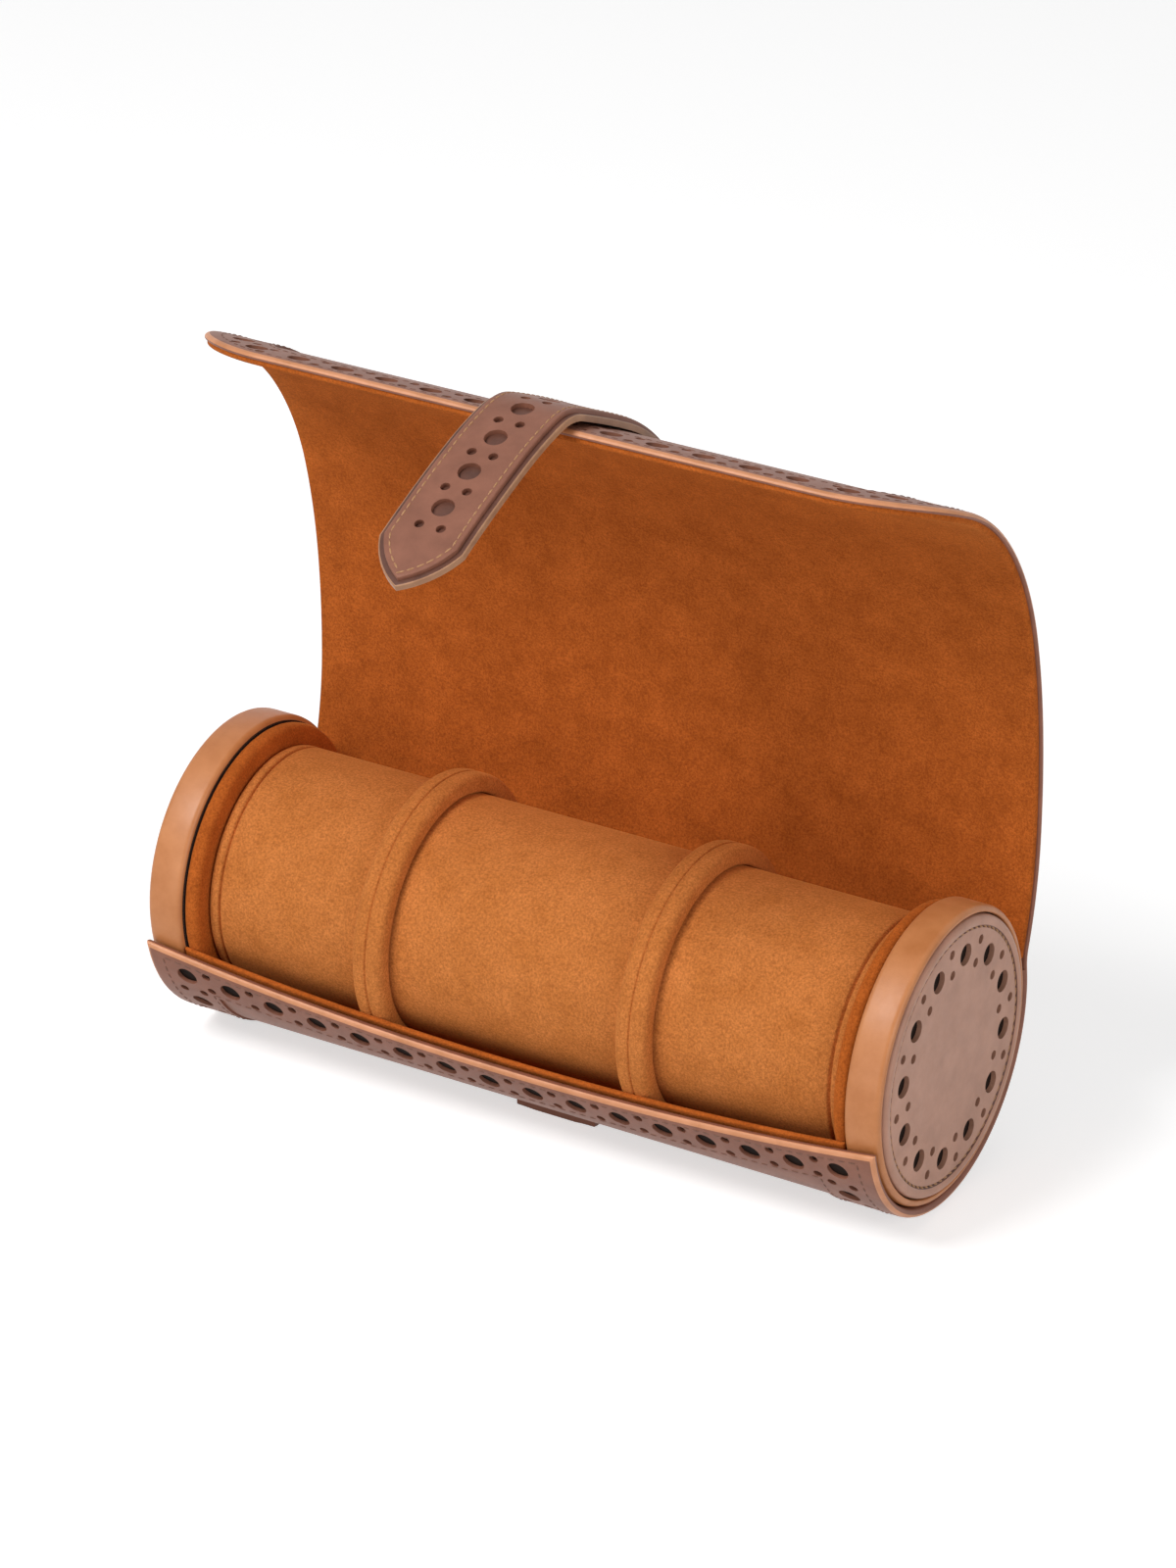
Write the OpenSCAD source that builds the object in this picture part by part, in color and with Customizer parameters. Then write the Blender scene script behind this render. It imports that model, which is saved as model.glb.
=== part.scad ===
// Three-bay watch roll. A leather trough holds a padded cylinder between two
// end caps. One long cover, hinged along the back edge of the trough, curls
// over the cylinder and is held by a strap with a hidden magnet.
// X runs along the roll, Y to the hinge side and Z up. The origin lies on the
// flat underside of the closure pad, straight below the axis of the roll.

/* [End caps] */
// Length over the two perforated end discs
roll_len = 222; // [190:1:260]
// Width of a rim band
rim_w = 10.3; // [8:0.1:14]
// Thickness of the leather of a rim band
rim_t = 1.4; // [1:0.1:2.5]
// Rounding of the edges of a rim band
rim_round = 0.6; // [0.3:0.1:0.7]
// Thickness of a perforated end disc
disc_t = 1.4; // [1:0.1:2.5]
// Thickness of the dark leather behind a perforated disc
backing_t = 0.8; // [0.5:0.1:1.5]
// Width of the groove between an end disc and its rim band
disc_groove = 0.7; // [0.4:0.1:1.5]
// How far an end disc stands out of its rim band
disc_proud = 0.3; // [0.1:0.1:0.8]

/* [Inner roll] */
// Outer radius of the stiff tube inside, which the whole diameter follows
tube_r = 28.5; // [26:0.5:34]
// Wall of the stiff tube
tube_wall = 2.5; // [1.5:0.1:4]
// Thickness of the padding that the watches are strapped round
padding_t = 4.5; // [3:0.5:7]
// How far the divider rings and guard rings stand out of the padding
bay_depth = 5.4; // [4.6:0.1:8]
// Rounding of the two ends of the padded cylinder
cushion_round = 2; // [1:0.5:3]
// Depth and width of the sewn seam near each end of the padded cylinder
seam_groove = 0.5; // [0.3:0.1:0.8]
// Distance of that seam from the end of the padded cylinder
seam_inset = 3; // [2.5:0.1:5]
// Length of the plug that holds an end cap in the tube
plug_len = 14; // [8:1:25]
// Thickness of the padded suede ring on the inside of an end cap
guard_w = 4.3; // [3.5:0.1:6]
// Rounding of the outer edges of that ring
guard_round = 1.8; // [1:0.1:1.9]

/* [Divider rings] */
// Width of a sliding divider ring
divider_w = 9.5; // [8:0.1:12]
// Rounding of the crest of a divider ring
divider_round = 2.4; // [1:0.1:2.6]
// Width of the stiff core of a divider ring
divider_core_w = 5; // [3:0.1:6]
// Thickness of the stiff core of a divider ring
divider_core_t = 1.6; // [1:0.1:2]
// Place of the left divider ring along the roll
divider_left_x = -43.2; // [-60:0.1:-30]
// Place of the right divider ring along the roll
divider_right_x = 36.8; // [30:0.1:60]

/* [Wrap] */
// Thickness of the suede lining of trough and cover
lining_t = 1.3; // [0.8:0.1:1.8]
// Thickness of the trough's leather with the board inside it
shell_t = 2.3; // [1.5:0.1:4]
// Thickness of the cover's leather
leather_t = 1.3; // [1:0.1:2.5]
// Thickness of the perforated border sewn on the leather
border_t = 0.6; // [0.4:0.1:1.2]
// Width of the perforated border along the front lip and the free edge
border_w = 13; // [11:0.5:18]
// Width of the perforated border along the two ends of trough and cover
side_border_w = 19; // [16:0.5:24]
// Angle of the front lip at the two ends, counted round from the back
lip_end_angle = 192; // [188:0.5:196]
// Angle of the front lip at the middle, where it dips
lip_mid_angle = 205; // [200:0.5:212]
// Distance by which trough and cover stop short of each rim band's end
wrap_inset = 0.2; // [0.1:0.1:2]

/* [Cover] */
// Length of one of the six parts of the cover, measured along its lining
seg_len = 30.5; // [27:0.5:33]
// Bend of each part of the cover, from the hinge to the free edge
cover_turns = [16, 7, 10, 21, 26, 14]; // [5:1:30]
// Direction in which the open cover leaves the hinge
cover_start_dir = 72; // [66:1:80]
// Angle of the hinge line above the axis of the roll
hinge_angle = 14.9; // [13:0.1:20]
// Clearance from the rim bands to the hinge line
hinge_clear = 0.75; // [0.6:0.05:2]
// Radius of the two corners at the free edge
corner_r = 30; // [15:1:34]
// Half of the gap left on the hinge line between two parts
joint_gap = 0.15; // [0.1:0.05:0.3]
// Slope of the ends of each part, which lets the cover open further back
joint_slope = 10; // [9:0.5:12]
// How far the cover opens back from the place shown
cover_back = 20; // [10:1:22]

/* [Strap] */
// Width of the strap
strap_w = 24; // [18:1:32]
// Thickness of each of the two plies of the strap
ply_t = 1.5; // [1:0.1:1.8]
// Share of the fifth part of the cover that the sewn strap end covers
root_share = 0.75; // [0.4:0.05:0.9]
// Bend of the stretch of strap that stands off the cover's free edge
bridge_turn = 5; // [3:0.5:9]
// Angle between that stretch and the hanging tab
tab_kink = 30; // [20:1:40]
// Length of one of the three parts of the hanging tab
tab_len = 23.3; // [20:0.1:27]
// Bend of each part of the hanging tab
tab_turns = [12, 4, 5]; // [3:1:15]
// Length of the pointed tip of the strap
tip_len = 14; // [12:0.5:17]
// Bulge of each side of the pointed tip past a straight line
tip_bow = 1.8; // [0.8:0.1:2.5]

/* [Closure] */
// Reach of the pad under the trough towards the front
pad_front = 13; // [9:0.5:16]
// Reach of the pad under the trough towards the back
pad_back = 20; // [17:0.5:22]
// Depth of the pad's flat underside below the trough's leather
pad_drop = 1.8; // [1.5:0.1:3]
// Diameter of the two hidden magnets
magnet_d = 11; // [8:0.5:13]
// Thickness of the two hidden magnets
magnet_t = 1.2; // [0.8:0.1:1.4]
// Place of the pad's magnet behind the axis
magnet_y = 11; // [9:0.5:12]

/* [Perforations] */
// Diameter of the large holes
big_d = 6; // [4:0.1:7]
// Diameter of the small holes
small_d = 2.6; // [1.5:0.1:3]
// Distance from one large hole to the next along the borders
hole_pitch = 13.2; // [11:0.1:16]
// Distance from one large hole to the next along the strap
strap_pitch = 13.2; // [11:0.1:16]
// Distance between the two small holes of a pair
pair_gap = 6.2; // [5:0.1:7]
// Distance of a row of large holes from the front lip or the free edge
row_inset = 7; // [5:0.5:7.5]
// Distance of a row of large holes from an end of trough or cover
side_inset = 11.5; // [8:0.5:12.5]
// Number of large holes round each corner of the cover
corner_holes = 2; // [1:1:3]
// Radius of the circle of large holes on an end disc
disc_ring_r = 28; // [22:0.5:28.5]
// Number of large holes on an end disc
disc_holes = 12; // [8:1:13]
// Angle from the top of an end disc to its first large hole
disc_turn = 10; // [0:1:20]

/* [Hidden] */
$fn = 96;
fit_gap = 0.1;
slide_gap = 0.3;
crest_gap = 0.4;
inner_gap = 0.1;
open_clear = 2;
magnet_skin = 0.3;
cutter_h = 12;
lap = 1;
far = 300;
half_len = roll_len / 2;
cushion_r = tube_r + padding_t;
crest_r = cushion_r + bay_depth;
lining_in_r = crest_r + crest_gap;
rim_r = lining_in_r + lining_t - fit_gap;
shell_in_r = rim_r + fit_gap;
shell_out_r = shell_in_r + shell_t;
border_out_r = shell_out_r + border_t;
axis_z = shell_out_r + pad_drop;
rim_out_x = half_len - disc_proud;
wrap_w = 2 * (rim_out_x - wrap_inset);
cap_in_x = rim_out_x - rim_w;
board_out_x = half_len - disc_t - backing_t;
guard_in_x = cap_in_x - guard_w;
cushion_len = 2 * (guard_in_x - inner_gap);
trough_lining_len = 2 * (cap_in_x - slide_gap);
band_in_r = rim_r - rim_t;
disc_r = band_in_r - disc_groove;
hinge_r = rim_r + hinge_clear;
hinge_pos = hinge_r * [cos(hinge_angle), sin(hinge_angle)];
back_cut_dir = cover_start_dir - 90 - cover_back - open_clear;
lip_end_z = border_out_r * sin(lip_end_angle);
lip_mid_z = border_out_r * sin(lip_mid_angle);
lip_dip = lip_end_z - lip_mid_z;
lip_bow_r = (pow(wrap_w / 2, 2) + pow(lip_dip, 2)) / (2 * lip_dip);
cover_t = lining_t + leather_t;
cover_skin_t = cover_t + border_t;
seg_count = len(cover_turns);
cover_len = seg_count * seg_len;
strap_t = 2 * ply_t;
strap_len = len(tab_turns) * tab_len;

// Direction, along the profile, in which part i of a bent chain starts
function chain_dir(turns, start, i) = i == 0 ? start : chain_dir(turns, start, i - 1) + turns[i - 1];
// Radius of an arc of a given length and bend
function arc_r(length, turn) = length / (turn * PI / 180);
// Straight step from the start of an arc to its end
function arc_step(length, turn, dir) =
  2 * arc_r(length, turn) * sin(turn / 2) * [cos(dir + turn / 2), sin(dir + turn / 2)];
// Place where part i of a bent chain starts
function chain_pos(turns, length, pos, start, i) =
  i == 0 ? pos
  : chain_pos(turns, length, pos, start, i - 1)
    + arc_step(length, turns[i - 1], chain_dir(turns, start, i - 1));
// Centre of the arc that starts at a place in a direction
function arc_centre(pos, dir, r) = pos + r * [-sin(dir), cos(dir)];
function outward(dir) = [sin(dir), -cos(dir)];
// How much a layer is cut back at a joint, so that its outer edge stays clear
function relief(depth) = joint_gap + depth * tan(joint_slope);

function cover_pos(i) = chain_pos(cover_turns, seg_len, hinge_pos, cover_start_dir, i);
function cover_dir(i) = chain_dir(cover_turns, cover_start_dir, i);

last_seg = seg_count - 1;
bridge_pos = cover_pos(last_seg) + cover_skin_t * outward(cover_dir(last_seg));
bridge_dir = cover_dir(last_seg);
tab_pos = bridge_pos + arc_step(seg_len, bridge_turn, bridge_dir);
tab_dir = bridge_dir + bridge_turn + tab_kink;

// Places a profile drawn in Y and Z, and anything extruded from it along X
module side_on() {
  translate([0, 0, axis_z]) rotate([90, 0, 90]) children();
}

// Places a solid of revolution, drawn about Z, on the axis of the roll
module on_axis() {
  translate([0, 0, axis_z]) rotate([0, 90, 0]) children();
}

// Puts a copy for the left end (-1) or for the right end (1)
module at_end(side) {
  mirror([side < 0 ? 1 : 0, 0, 0]) children();
}

module ring(r_in, r_out, x0, x1) {
  on_axis() translate([0, 0, x0]) difference() {
    cylinder(r = r_out, h = x1 - x0);
    translate([0, 0, -lap]) cylinder(r = r_in, h = x1 - x0 + 2 * lap);
  }
}

// A bar in section, with its outer two corners rounded
module crowned_bar(w, r_in, r_out, round_r) {
  translate([r_in, -w / 2]) square([r_out - round_r - r_in, w]);
  translate([r_in, -w / 2 + round_r]) square([r_out - r_in, w - 2 * round_r]);
  for (side = [-1, 1])
    translate([r_out - round_r, side * (w / 2 - round_r)]) circle(r = round_r);
}

// The wedge between two directions, out to a given reach
module wedge(a0, a1, reach) {
  mid = (a0 + a1) / 2;
  polygon(concat([[0, 0]], [for (a = [a0, mid, a1]) reach * [cos(a), sin(a)]]));
}

// One layer of a bent part in section. depth counts outwards from the
// hinge line, and the two cuts are lengths taken off its start and its end.
module arc_layer(pos, dir, length, turn, depth0, depth1, cut0, cut1) {
  r = arc_r(length, turn);
  degrees = 180 / PI / r;
  translate(arc_centre(pos, dir, r)) intersection() {
    difference() {
      circle(r = r + depth1, $fn = 360);
      circle(r = r + depth0, $fn = 360);
    }
    wedge(dir - 90 + cut0 * degrees, dir - 90 + turn - cut1 * degrees, 2 * r);
  }
}

// A tool that stands square on a bent part, at s along it and x across it
module square_on(pos, dir, length, turn, s) {
  r = arc_r(length, turn);
  a = dir + turn * s / length;
  translate(concat(arc_centre(pos, dir, r), 0)) rotate([0, 0, a]) translate([0, -r, 0])
    rotate([90, 0, 0]) rotate([0, 0, 90]) children();
}

// The space in front of the axis that a bow of a given radius leaves open
// above the front lip
module lip_bow(r) {
  translate([0, -far / 2, axis_z + lip_mid_z + lip_bow_r]) rotate([90, 0, 0])
    cylinder(r = r, h = far, center = true, $fn = 360);
}

// A wall of the trough, open at the top from the hinge line to the front lip
module trough_wall(r_in, r_out, width) {
  edge = hinge_pos + joint_gap * outward(back_cut_dir);
  difference() {
    ring(r_in, r_out, -width / 2, width / 2);
    side_on() linear_extrude(far, center = true)
      polygon([[0, edge[1]], edge, edge + far * [cos(back_cut_dir), sin(back_cut_dir)],
        [far, far], [0, far]]);
    lip_bow(lip_bow_r);
  }
}

// Large holes of the border along the front lip
module lip_holes() {
  n = floor((wrap_w / 2 - side_inset) / hole_pitch + 0.5);
  for (k = [-n:n - 1]) {
    x = (k + 0.5) * hole_pitch;
    lip_z = lip_mid_z + lip_bow_r - sqrt(pow(lip_bow_r, 2) - x * x);
    a = 180 - asin(lip_z / border_out_r) + row_inset / border_out_r * 180 / PI;
    translate([x, 0, axis_z]) rotate([a, 0, 0]) translate([0, border_out_r, 0])
      rotate([90, 0, 0]) cylinder(d = big_d, h = cutter_h, center = true);
  }
}

// Large holes of the two borders that run round under the trough
module hoop_holes() {
  start = lip_end_angle + row_inset / border_out_r * 180 / PI;
  step = hole_pitch / border_out_r * 180 / PI;
  n = floor((360 + hinge_angle - start) / step) - 1;
  for (side = [-1, 1], k = [1:n])
    translate([side * (wrap_w / 2 - side_inset), 0, axis_z]) rotate([start + k * step, 0, 0])
      translate([0, border_out_r, 0]) rotate([90, 0, 0])
        cylinder(d = big_d, h = cutter_h, center = true);
}

module trough_shell() {
  color("#7A5244") trough_wall(shell_in_r, shell_out_r, wrap_w);
}

module trough_lining() {
  color("#A65A1E") trough_wall(lining_in_r, shell_in_r, trough_lining_len);
}

module trough_border() {
  color("#8A6455") difference() {
    trough_wall(shell_out_r, border_out_r, wrap_w);
    difference() {
      ring(shell_out_r - lap, border_out_r + lap,
        side_border_w - wrap_w / 2, wrap_w / 2 - side_border_w);
      lip_bow(lip_bow_r + border_w);
    }
    lip_holes();
    hoop_holes();
  }
}

module pad_magnet() {
  translate([0, magnet_y, magnet_skin]) cylinder(d = magnet_d, h = magnet_t);
}

module closure_pad() {
  color("#4A342B") difference() {
    translate([-strap_w / 2, -pad_front, 0]) cube([strap_w, pad_front + pad_back, axis_z]);
    on_axis() cylinder(r = shell_out_r, h = far, center = true);
    pad_magnet();
  }
}

module closure_magnet() {
  color("#9A9A9A") pad_magnet();
}

module core_tube() {
  color("#B9A68C") ring(tube_r - tube_wall, tube_r, -cap_in_x, cap_in_x);
}

module tube_plug(side) {
  color("#A08C70") at_end(side) on_axis() translate([0, 0, cap_in_x - plug_len])
    cylinder(r = tube_r - tube_wall, h = plug_len);
}

module cushion() {
  seam_x = cushion_len / 2 - seam_inset;
  color("#B0661F") on_axis() rotate_extrude() difference() {
    crowned_bar(cushion_len, tube_r, cushion_r, cushion_round);
    for (side = [-1, 1])
      translate([cushion_r, side * seam_x]) circle(r = seam_groove);
  }
}

module end_board(side) {
  color("#A08C70") at_end(side) on_axis() translate([0, 0, cap_in_x])
    cylinder(r = band_in_r, h = board_out_x - cap_in_x);
}

module rim_band(side) {
  color("#C07A45") at_end(side) on_axis() translate([0, 0, rim_out_x - rim_w / 2])
    rotate_extrude() crowned_bar(rim_w, band_in_r, rim_r, rim_round);
}

module end_disc(side) {
  step = 360 / disc_holes;
  disc_x = board_out_x + backing_t;
  color("#7D5A4C") at_end(side) on_axis() translate([0, 0, disc_x]) difference() {
    cylinder(r = disc_r, h = disc_t);
    for (k = [0:disc_holes - 1]) {
      rotate(k * step + disc_turn) translate([disc_ring_r, 0, -lap])
        cylinder(d = big_d, h = disc_t + 2 * lap);
      for (shift = [-1, 1])
        rotate((k + 0.5) * step + disc_turn) translate([disc_ring_r + shift * pair_gap / 2, 0, -lap])
          cylinder(d = small_d, h = disc_t + 2 * lap);
    }
  }
}

module disc_backing(side) {
  color("#3A241A") at_end(side) on_axis() translate([0, 0, board_out_x])
    cylinder(r = disc_r, h = backing_t);
}

module guard_ring(side) {
  color("#A8611F") at_end(side) on_axis() translate([0, 0, guard_in_x + guard_w / 2])
    rotate_extrude() crowned_bar(guard_w, tube_r, crest_r, guard_round);
}

module divider_core_section(x) {
  core_r = cushion_r + slide_gap + divider_core_t;
  translate([core_r, x - divider_core_w / 2]) square([divider_core_t, divider_core_w]);
}

module divider_core(x) {
  color("#B9A68C") on_axis() rotate_extrude() divider_core_section(x);
}

module divider_sleeve(x) {
  color("#B0661F") on_axis() rotate_extrude() difference() {
    translate([0, x]) crowned_bar(divider_w, cushion_r + slide_gap, crest_r, divider_round);
    divider_core_section(x);
    translate([crest_r, x]) circle(r = seam_groove);
  }
}

// The flat pattern of the whole cover, with s from the hinge along its Y,
// drawn in from its two sides and from its free edge
module cover_pattern(side_in, edge_in) {
  w = wrap_w - 2 * side_in;
  r = corner_r - edge_in;
  l = cover_len - edge_in;
  translate([-w / 2, -lap]) square([w, l - r + lap]);
  translate([r - w / 2, 0]) square([w - 2 * r, l]);
  for (side = [-1, 1])
    translate([side * (w / 2 - r), l - r]) circle(r = r, $fn = 180);
}

// Stands the flat pattern square on the middle of part i, s along the cover
module on_part(i) {
  side_on() square_on(cover_pos(i), cover_dir(i), seg_len, cover_turns[i], seg_len / 2)
    rotate([0, 0, 180]) translate([0, -(i + 0.5) * seg_len, 0]) children();
}

module cover_layer(i, depth0, depth1) {
  cut = relief(depth1);
  end_cut = i == last_seg ? 0 : cut;
  intersection() {
    side_on() linear_extrude(wrap_w, center = true)
      arc_layer(cover_pos(i), cover_dir(i), seg_len, cover_turns[i], depth0, depth1, cut, end_cut);
    on_part(i) linear_extrude(seg_len, center = true) cover_pattern(0, 0);
  }
}

// Large holes of the cover's border that fall on part i
module cover_holes(i) {
  rows = floor((cover_len - corner_r) / hole_pitch - 0.5);
  reach = big_d / 2;
  for (side = [-1, 1], k = [0:rows]) {
    s = (k + 0.5) * hole_pitch - i * seg_len;
    if (s > -reach && s < seg_len + reach)
      side_on() square_on(cover_pos(i), cover_dir(i), seg_len, cover_turns[i], s)
        translate([side * (wrap_w / 2 - side_inset), 0, 0])
          cylinder(d = big_d, h = cutter_h, center = true);
  }
  if (i == last_seg) edge_holes();
}

// Large holes along the free edge and round its two corners
module edge_holes() {
  straight = wrap_w - 2 * corner_r;
  n = floor(straight / 2 / hole_pitch + 0.5);
  on_part(last_seg) {
    for (k = [-n:n - 1])
      translate([(k + 0.5) * hole_pitch, cover_len - row_inset, 0])
        cylinder(d = big_d, h = cutter_h, center = true);
    for (side = [-1, 1], k = [0:corner_holes - 1]) {
      a = (k + 1) * 90 / (corner_holes + 0.5);
      translate([side * (wrap_w / 2 - corner_r + (corner_r - side_inset) * cos(a)),
        cover_len - corner_r + (corner_r - row_inset) * sin(a), 0])
        cylinder(d = big_d, h = cutter_h, center = true);
    }
  }
}

module cover_leather(i) {
  color("#7A5244") cover_layer(i, lining_t, cover_t);
}

module cover_lining(i) {
  color("#A65A1E") cover_layer(i, 0, lining_t);
}

module cover_border(i) {
  color("#8A6455") difference() {
    cover_layer(i, cover_t, cover_skin_t);
    on_part(i) linear_extrude(seg_len, center = true) cover_pattern(side_border_w, border_w);
    cover_holes(i);
  }
}

module strap_bar(pos, dir, length, turn, depth0, depth1, cut0, cut1) {
  side_on() linear_extrude(strap_w, center = true)
    arc_layer(pos, dir, length, turn, depth0, depth1, cut0, cut1);
}

// The sewn end of the strap, flat on the fifth part of the cover
module strap_root() {
  i = last_seg - 1;
  color("#8A6455") strap_bar(cover_pos(i), cover_dir(i), seg_len, cover_turns[i],
    cover_t, cover_skin_t + strap_t, (1 - root_share) * seg_len, relief(cover_skin_t + strap_t));
}

// The stretch of strap that rises off the cover towards its free edge
module strap_bridge() {
  color("#8A6455") strap_bar(bridge_pos, bridge_dir, seg_len, bridge_turn, 0, strap_t,
    relief(cover_skin_t + strap_t), joint_gap);
}

// The outline of the pointed tip, two arcs that meet, on the last part of the tab
module tip_pattern() {
  w = strap_w / 2;
  reach = max(tip_len, w);
  shoulder = tab_len / 2 - reach;
  chord = norm([w, reach]);
  arc_r = (chord * chord / 4 + tip_bow * tip_bow) / (2 * tip_bow);
  pull = (arc_r - tip_bow) / chord;
  hub_x = w / 2 - reach * pull;
  hub_y = shoulder + reach / 2 - w * pull;
  translate([-strap_w, -2 * tab_len]) square([2 * strap_w, 2 * tab_len + shoulder - tip_bow]);
  intersection() {
    translate([hub_x, hub_y]) circle(r = arc_r);
    translate([-hub_x, hub_y]) circle(r = arc_r);
  }
}

function tab_part_pos(i) = chain_pos(tab_turns, tab_len, tab_pos, tab_dir, i);
function tab_part_dir(i) = chain_dir(tab_turns, tab_dir, i);

module on_tab(i, s) {
  side_on() square_on(tab_part_pos(i), tab_part_dir(i), tab_len, tab_turns[i], s)
    rotate([0, 0, 180]) children();
}

module tab_layer(i, depth0, depth1) {
  end = len(tab_turns) - 1;
  cut = relief(depth1);
  intersection() {
    strap_bar(tab_part_pos(i), tab_part_dir(i), tab_len, tab_turns[i], depth0, depth1,
      cut, i == end ? 0 : cut);
    if (i == end) on_tab(i, tab_len / 2) linear_extrude(tab_len, center = true) tip_pattern();
    else cube(4 * far, center = true);
  }
}

// A hole at s along the whole tab, where it falls on part i
module tab_hole(i, s, x, d) {
  part_s = s - i * tab_len;
  if (part_s > -d / 2 && part_s < tab_len + d / 2)
    on_tab(i, part_s) translate([x, 0, 0]) cylinder(d = d, h = cutter_h, center = true);
}

module strap_face(i) {
  color("#8A6455") difference() {
    tab_layer(i, ply_t, strap_t);
    for (k = [0:floor((strap_len - tip_len) / strap_pitch) - 1]) {
      tab_hole(i, (k + 0.5) * strap_pitch, 0, big_d);
      for (side = [-1, 1])
        tab_hole(i, (k + 1) * strap_pitch, side * pair_gap / 2, small_d);
    }
  }
}

module tab_magnet() {
  on_tab(1, tab_len / 2) translate([0, 0, ply_t / 2])
    cylinder(d = magnet_d, h = magnet_t, center = true);
}

module strap_back(i) {
  color("#6B4636") difference() {
    tab_layer(i, 0, ply_t);
    if (i == 1) tab_magnet();
  }
}

module strap_magnet() {
  color("#9A9A9A") tab_magnet();
}

trough_shell();
trough_lining();
trough_border();
closure_pad();
closure_magnet();
core_tube();
tube_plug(-1);  // tube_plug_left
tube_plug(1);  // tube_plug_right
cushion();
end_board(-1);  // end_board_left
end_board(1);  // end_board_right
rim_band(-1);  // rim_band_left
rim_band(1);  // rim_band_right
end_disc(-1);  // end_disc_left
end_disc(1);  // end_disc_right
disc_backing(-1);  // disc_backing_left
disc_backing(1);  // disc_backing_right
guard_ring(-1);  // guard_ring_left
guard_ring(1);  // guard_ring_right
divider_core(divider_left_x);  // divider_core_left
divider_core(divider_right_x);  // divider_core_right
divider_sleeve(divider_left_x);  // divider_sleeve_left
divider_sleeve(divider_right_x);  // divider_sleeve_right
for (i = [0:last_seg]) {
  cover_leather(i);
  cover_lining(i);
  cover_border(i);
}
strap_root();
strap_bridge();
for (i = [0:len(tab_turns) - 1]) {
  strap_face(i);
  strap_back(i);
}
strap_magnet();
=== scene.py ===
"""Looks of a three-bay leather watch roll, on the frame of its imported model.

Shapes are worked out in millimetres and handed to Blender in metres. Sheets
of leather and suede are cut flat, as x across the roll and s along the wrap,
and are then laid round the wrap's own profile.
"""
import logging
import math
from collections.abc import Callable, Iterable
from dataclasses import dataclass, field
from enum import Enum

import bmesh
import bpy
from mathutils import Matrix, Vector


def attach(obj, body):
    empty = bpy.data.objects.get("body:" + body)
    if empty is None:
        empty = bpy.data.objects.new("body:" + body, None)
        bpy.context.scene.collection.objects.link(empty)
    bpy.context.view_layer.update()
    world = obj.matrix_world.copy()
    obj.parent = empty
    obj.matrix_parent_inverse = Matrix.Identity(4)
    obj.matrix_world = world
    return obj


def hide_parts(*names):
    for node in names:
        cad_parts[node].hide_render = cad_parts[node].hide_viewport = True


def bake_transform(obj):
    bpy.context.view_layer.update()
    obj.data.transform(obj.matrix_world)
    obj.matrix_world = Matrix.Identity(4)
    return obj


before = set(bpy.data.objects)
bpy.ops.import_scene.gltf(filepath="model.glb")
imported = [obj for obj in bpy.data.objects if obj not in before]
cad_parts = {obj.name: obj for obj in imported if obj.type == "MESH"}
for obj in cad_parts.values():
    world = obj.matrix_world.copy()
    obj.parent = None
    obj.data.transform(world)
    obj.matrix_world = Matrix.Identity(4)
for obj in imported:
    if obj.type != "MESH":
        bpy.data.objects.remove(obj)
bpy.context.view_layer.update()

log = logging.getLogger("watch_roll")

MM = 0.001
# Height of the roll's axis over the floor
AXIS_Z = 44.2
# Distances from the middle: end of the wrap, both edges of a rim band, face of an end disc
WRAP_X = 110.4
CAP_X = 100.4
RIM_OUT_X = 110.7
DISC_X = 111.0
# Radii from the axis: wrap, end caps, padded cylinder, rings on it, tube
OUTER_R = 43.0
RIM_R = 40.0
CUSHION_R = 33.0
CREST_R = 38.35
TUBE_R = 28.6
# The cover: hinge in Y and Z from the axis, thickness, length and turn of each of its parts,
# and direction at the hinge
HINGE = (39.38, 10.478)
SKIN_T = 3.2
SEG_LEN = 30.5
COVER_TURNS = (16.0, 7.0, 10.0, 21.0, 26.0, 14.0)
COVER_DIR = 72.0
PARTS = len(COVER_TURNS)
# Angles about the axis of the front lip, in its middle and at its ends
LIP_MID = 205.0
LIP_END = 192.0
# Spacing of the large holes
PITCH = 13.2
# Radii of the punched holes, and the distance between the two holes of a pair
BIG_R = 3.0
SMALL_R = 1.3
PAIR = 6.2
# Depth of the middle of the skin, where its bends are measured
SKIN_MID = 1.6
# How far a sheet reaches under or past the next, and how deep it sinks into it
TUCK = 0.3
SINK = 0.1
# Radius where a closed disc starts, just off the axis
MIDDLE_R = 0.02
# Below the start of every sheet
ALL_BELOW = -99.0
# Tolerance for two equal lengths
NEAR = 0.001


class Side(Enum):
    """The two ends of the roll."""

    LEFT = -1
    RIGHT = 1

    @property
    def word(self) -> str:
        """Name of the end, as the CAD nodes spell it."""
        return self.name.lower()


# Materials

# Sockets of Blender's node that mixes two colours
MIX_FACTOR, MIX_A, MIX_B, MIX_RESULT = 0, 6, 7, 2
# A value or an output socket, for an input of a shader node
Feed = float | tuple | bpy.types.NodeSocket


def linear(code: str, alpha: float = 1.0) -> tuple[float, float, float, float]:
    """Turns an sRGB hex code into linear red, green, blue and alpha.

    Args:
        code: Six hex digits, such as "8A6455".
        alpha: Opacity.

    Returns:
        The four linear values.
    """
    parts = [int(code[i:i + 2], 16) / 255 for i in (0, 2, 4)]
    red, green, blue = (p / 12.92 if p <= 0.04045 else ((p + 0.055) / 1.055) ** 2.4 for p in parts)
    return red, green, blue, alpha


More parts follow.
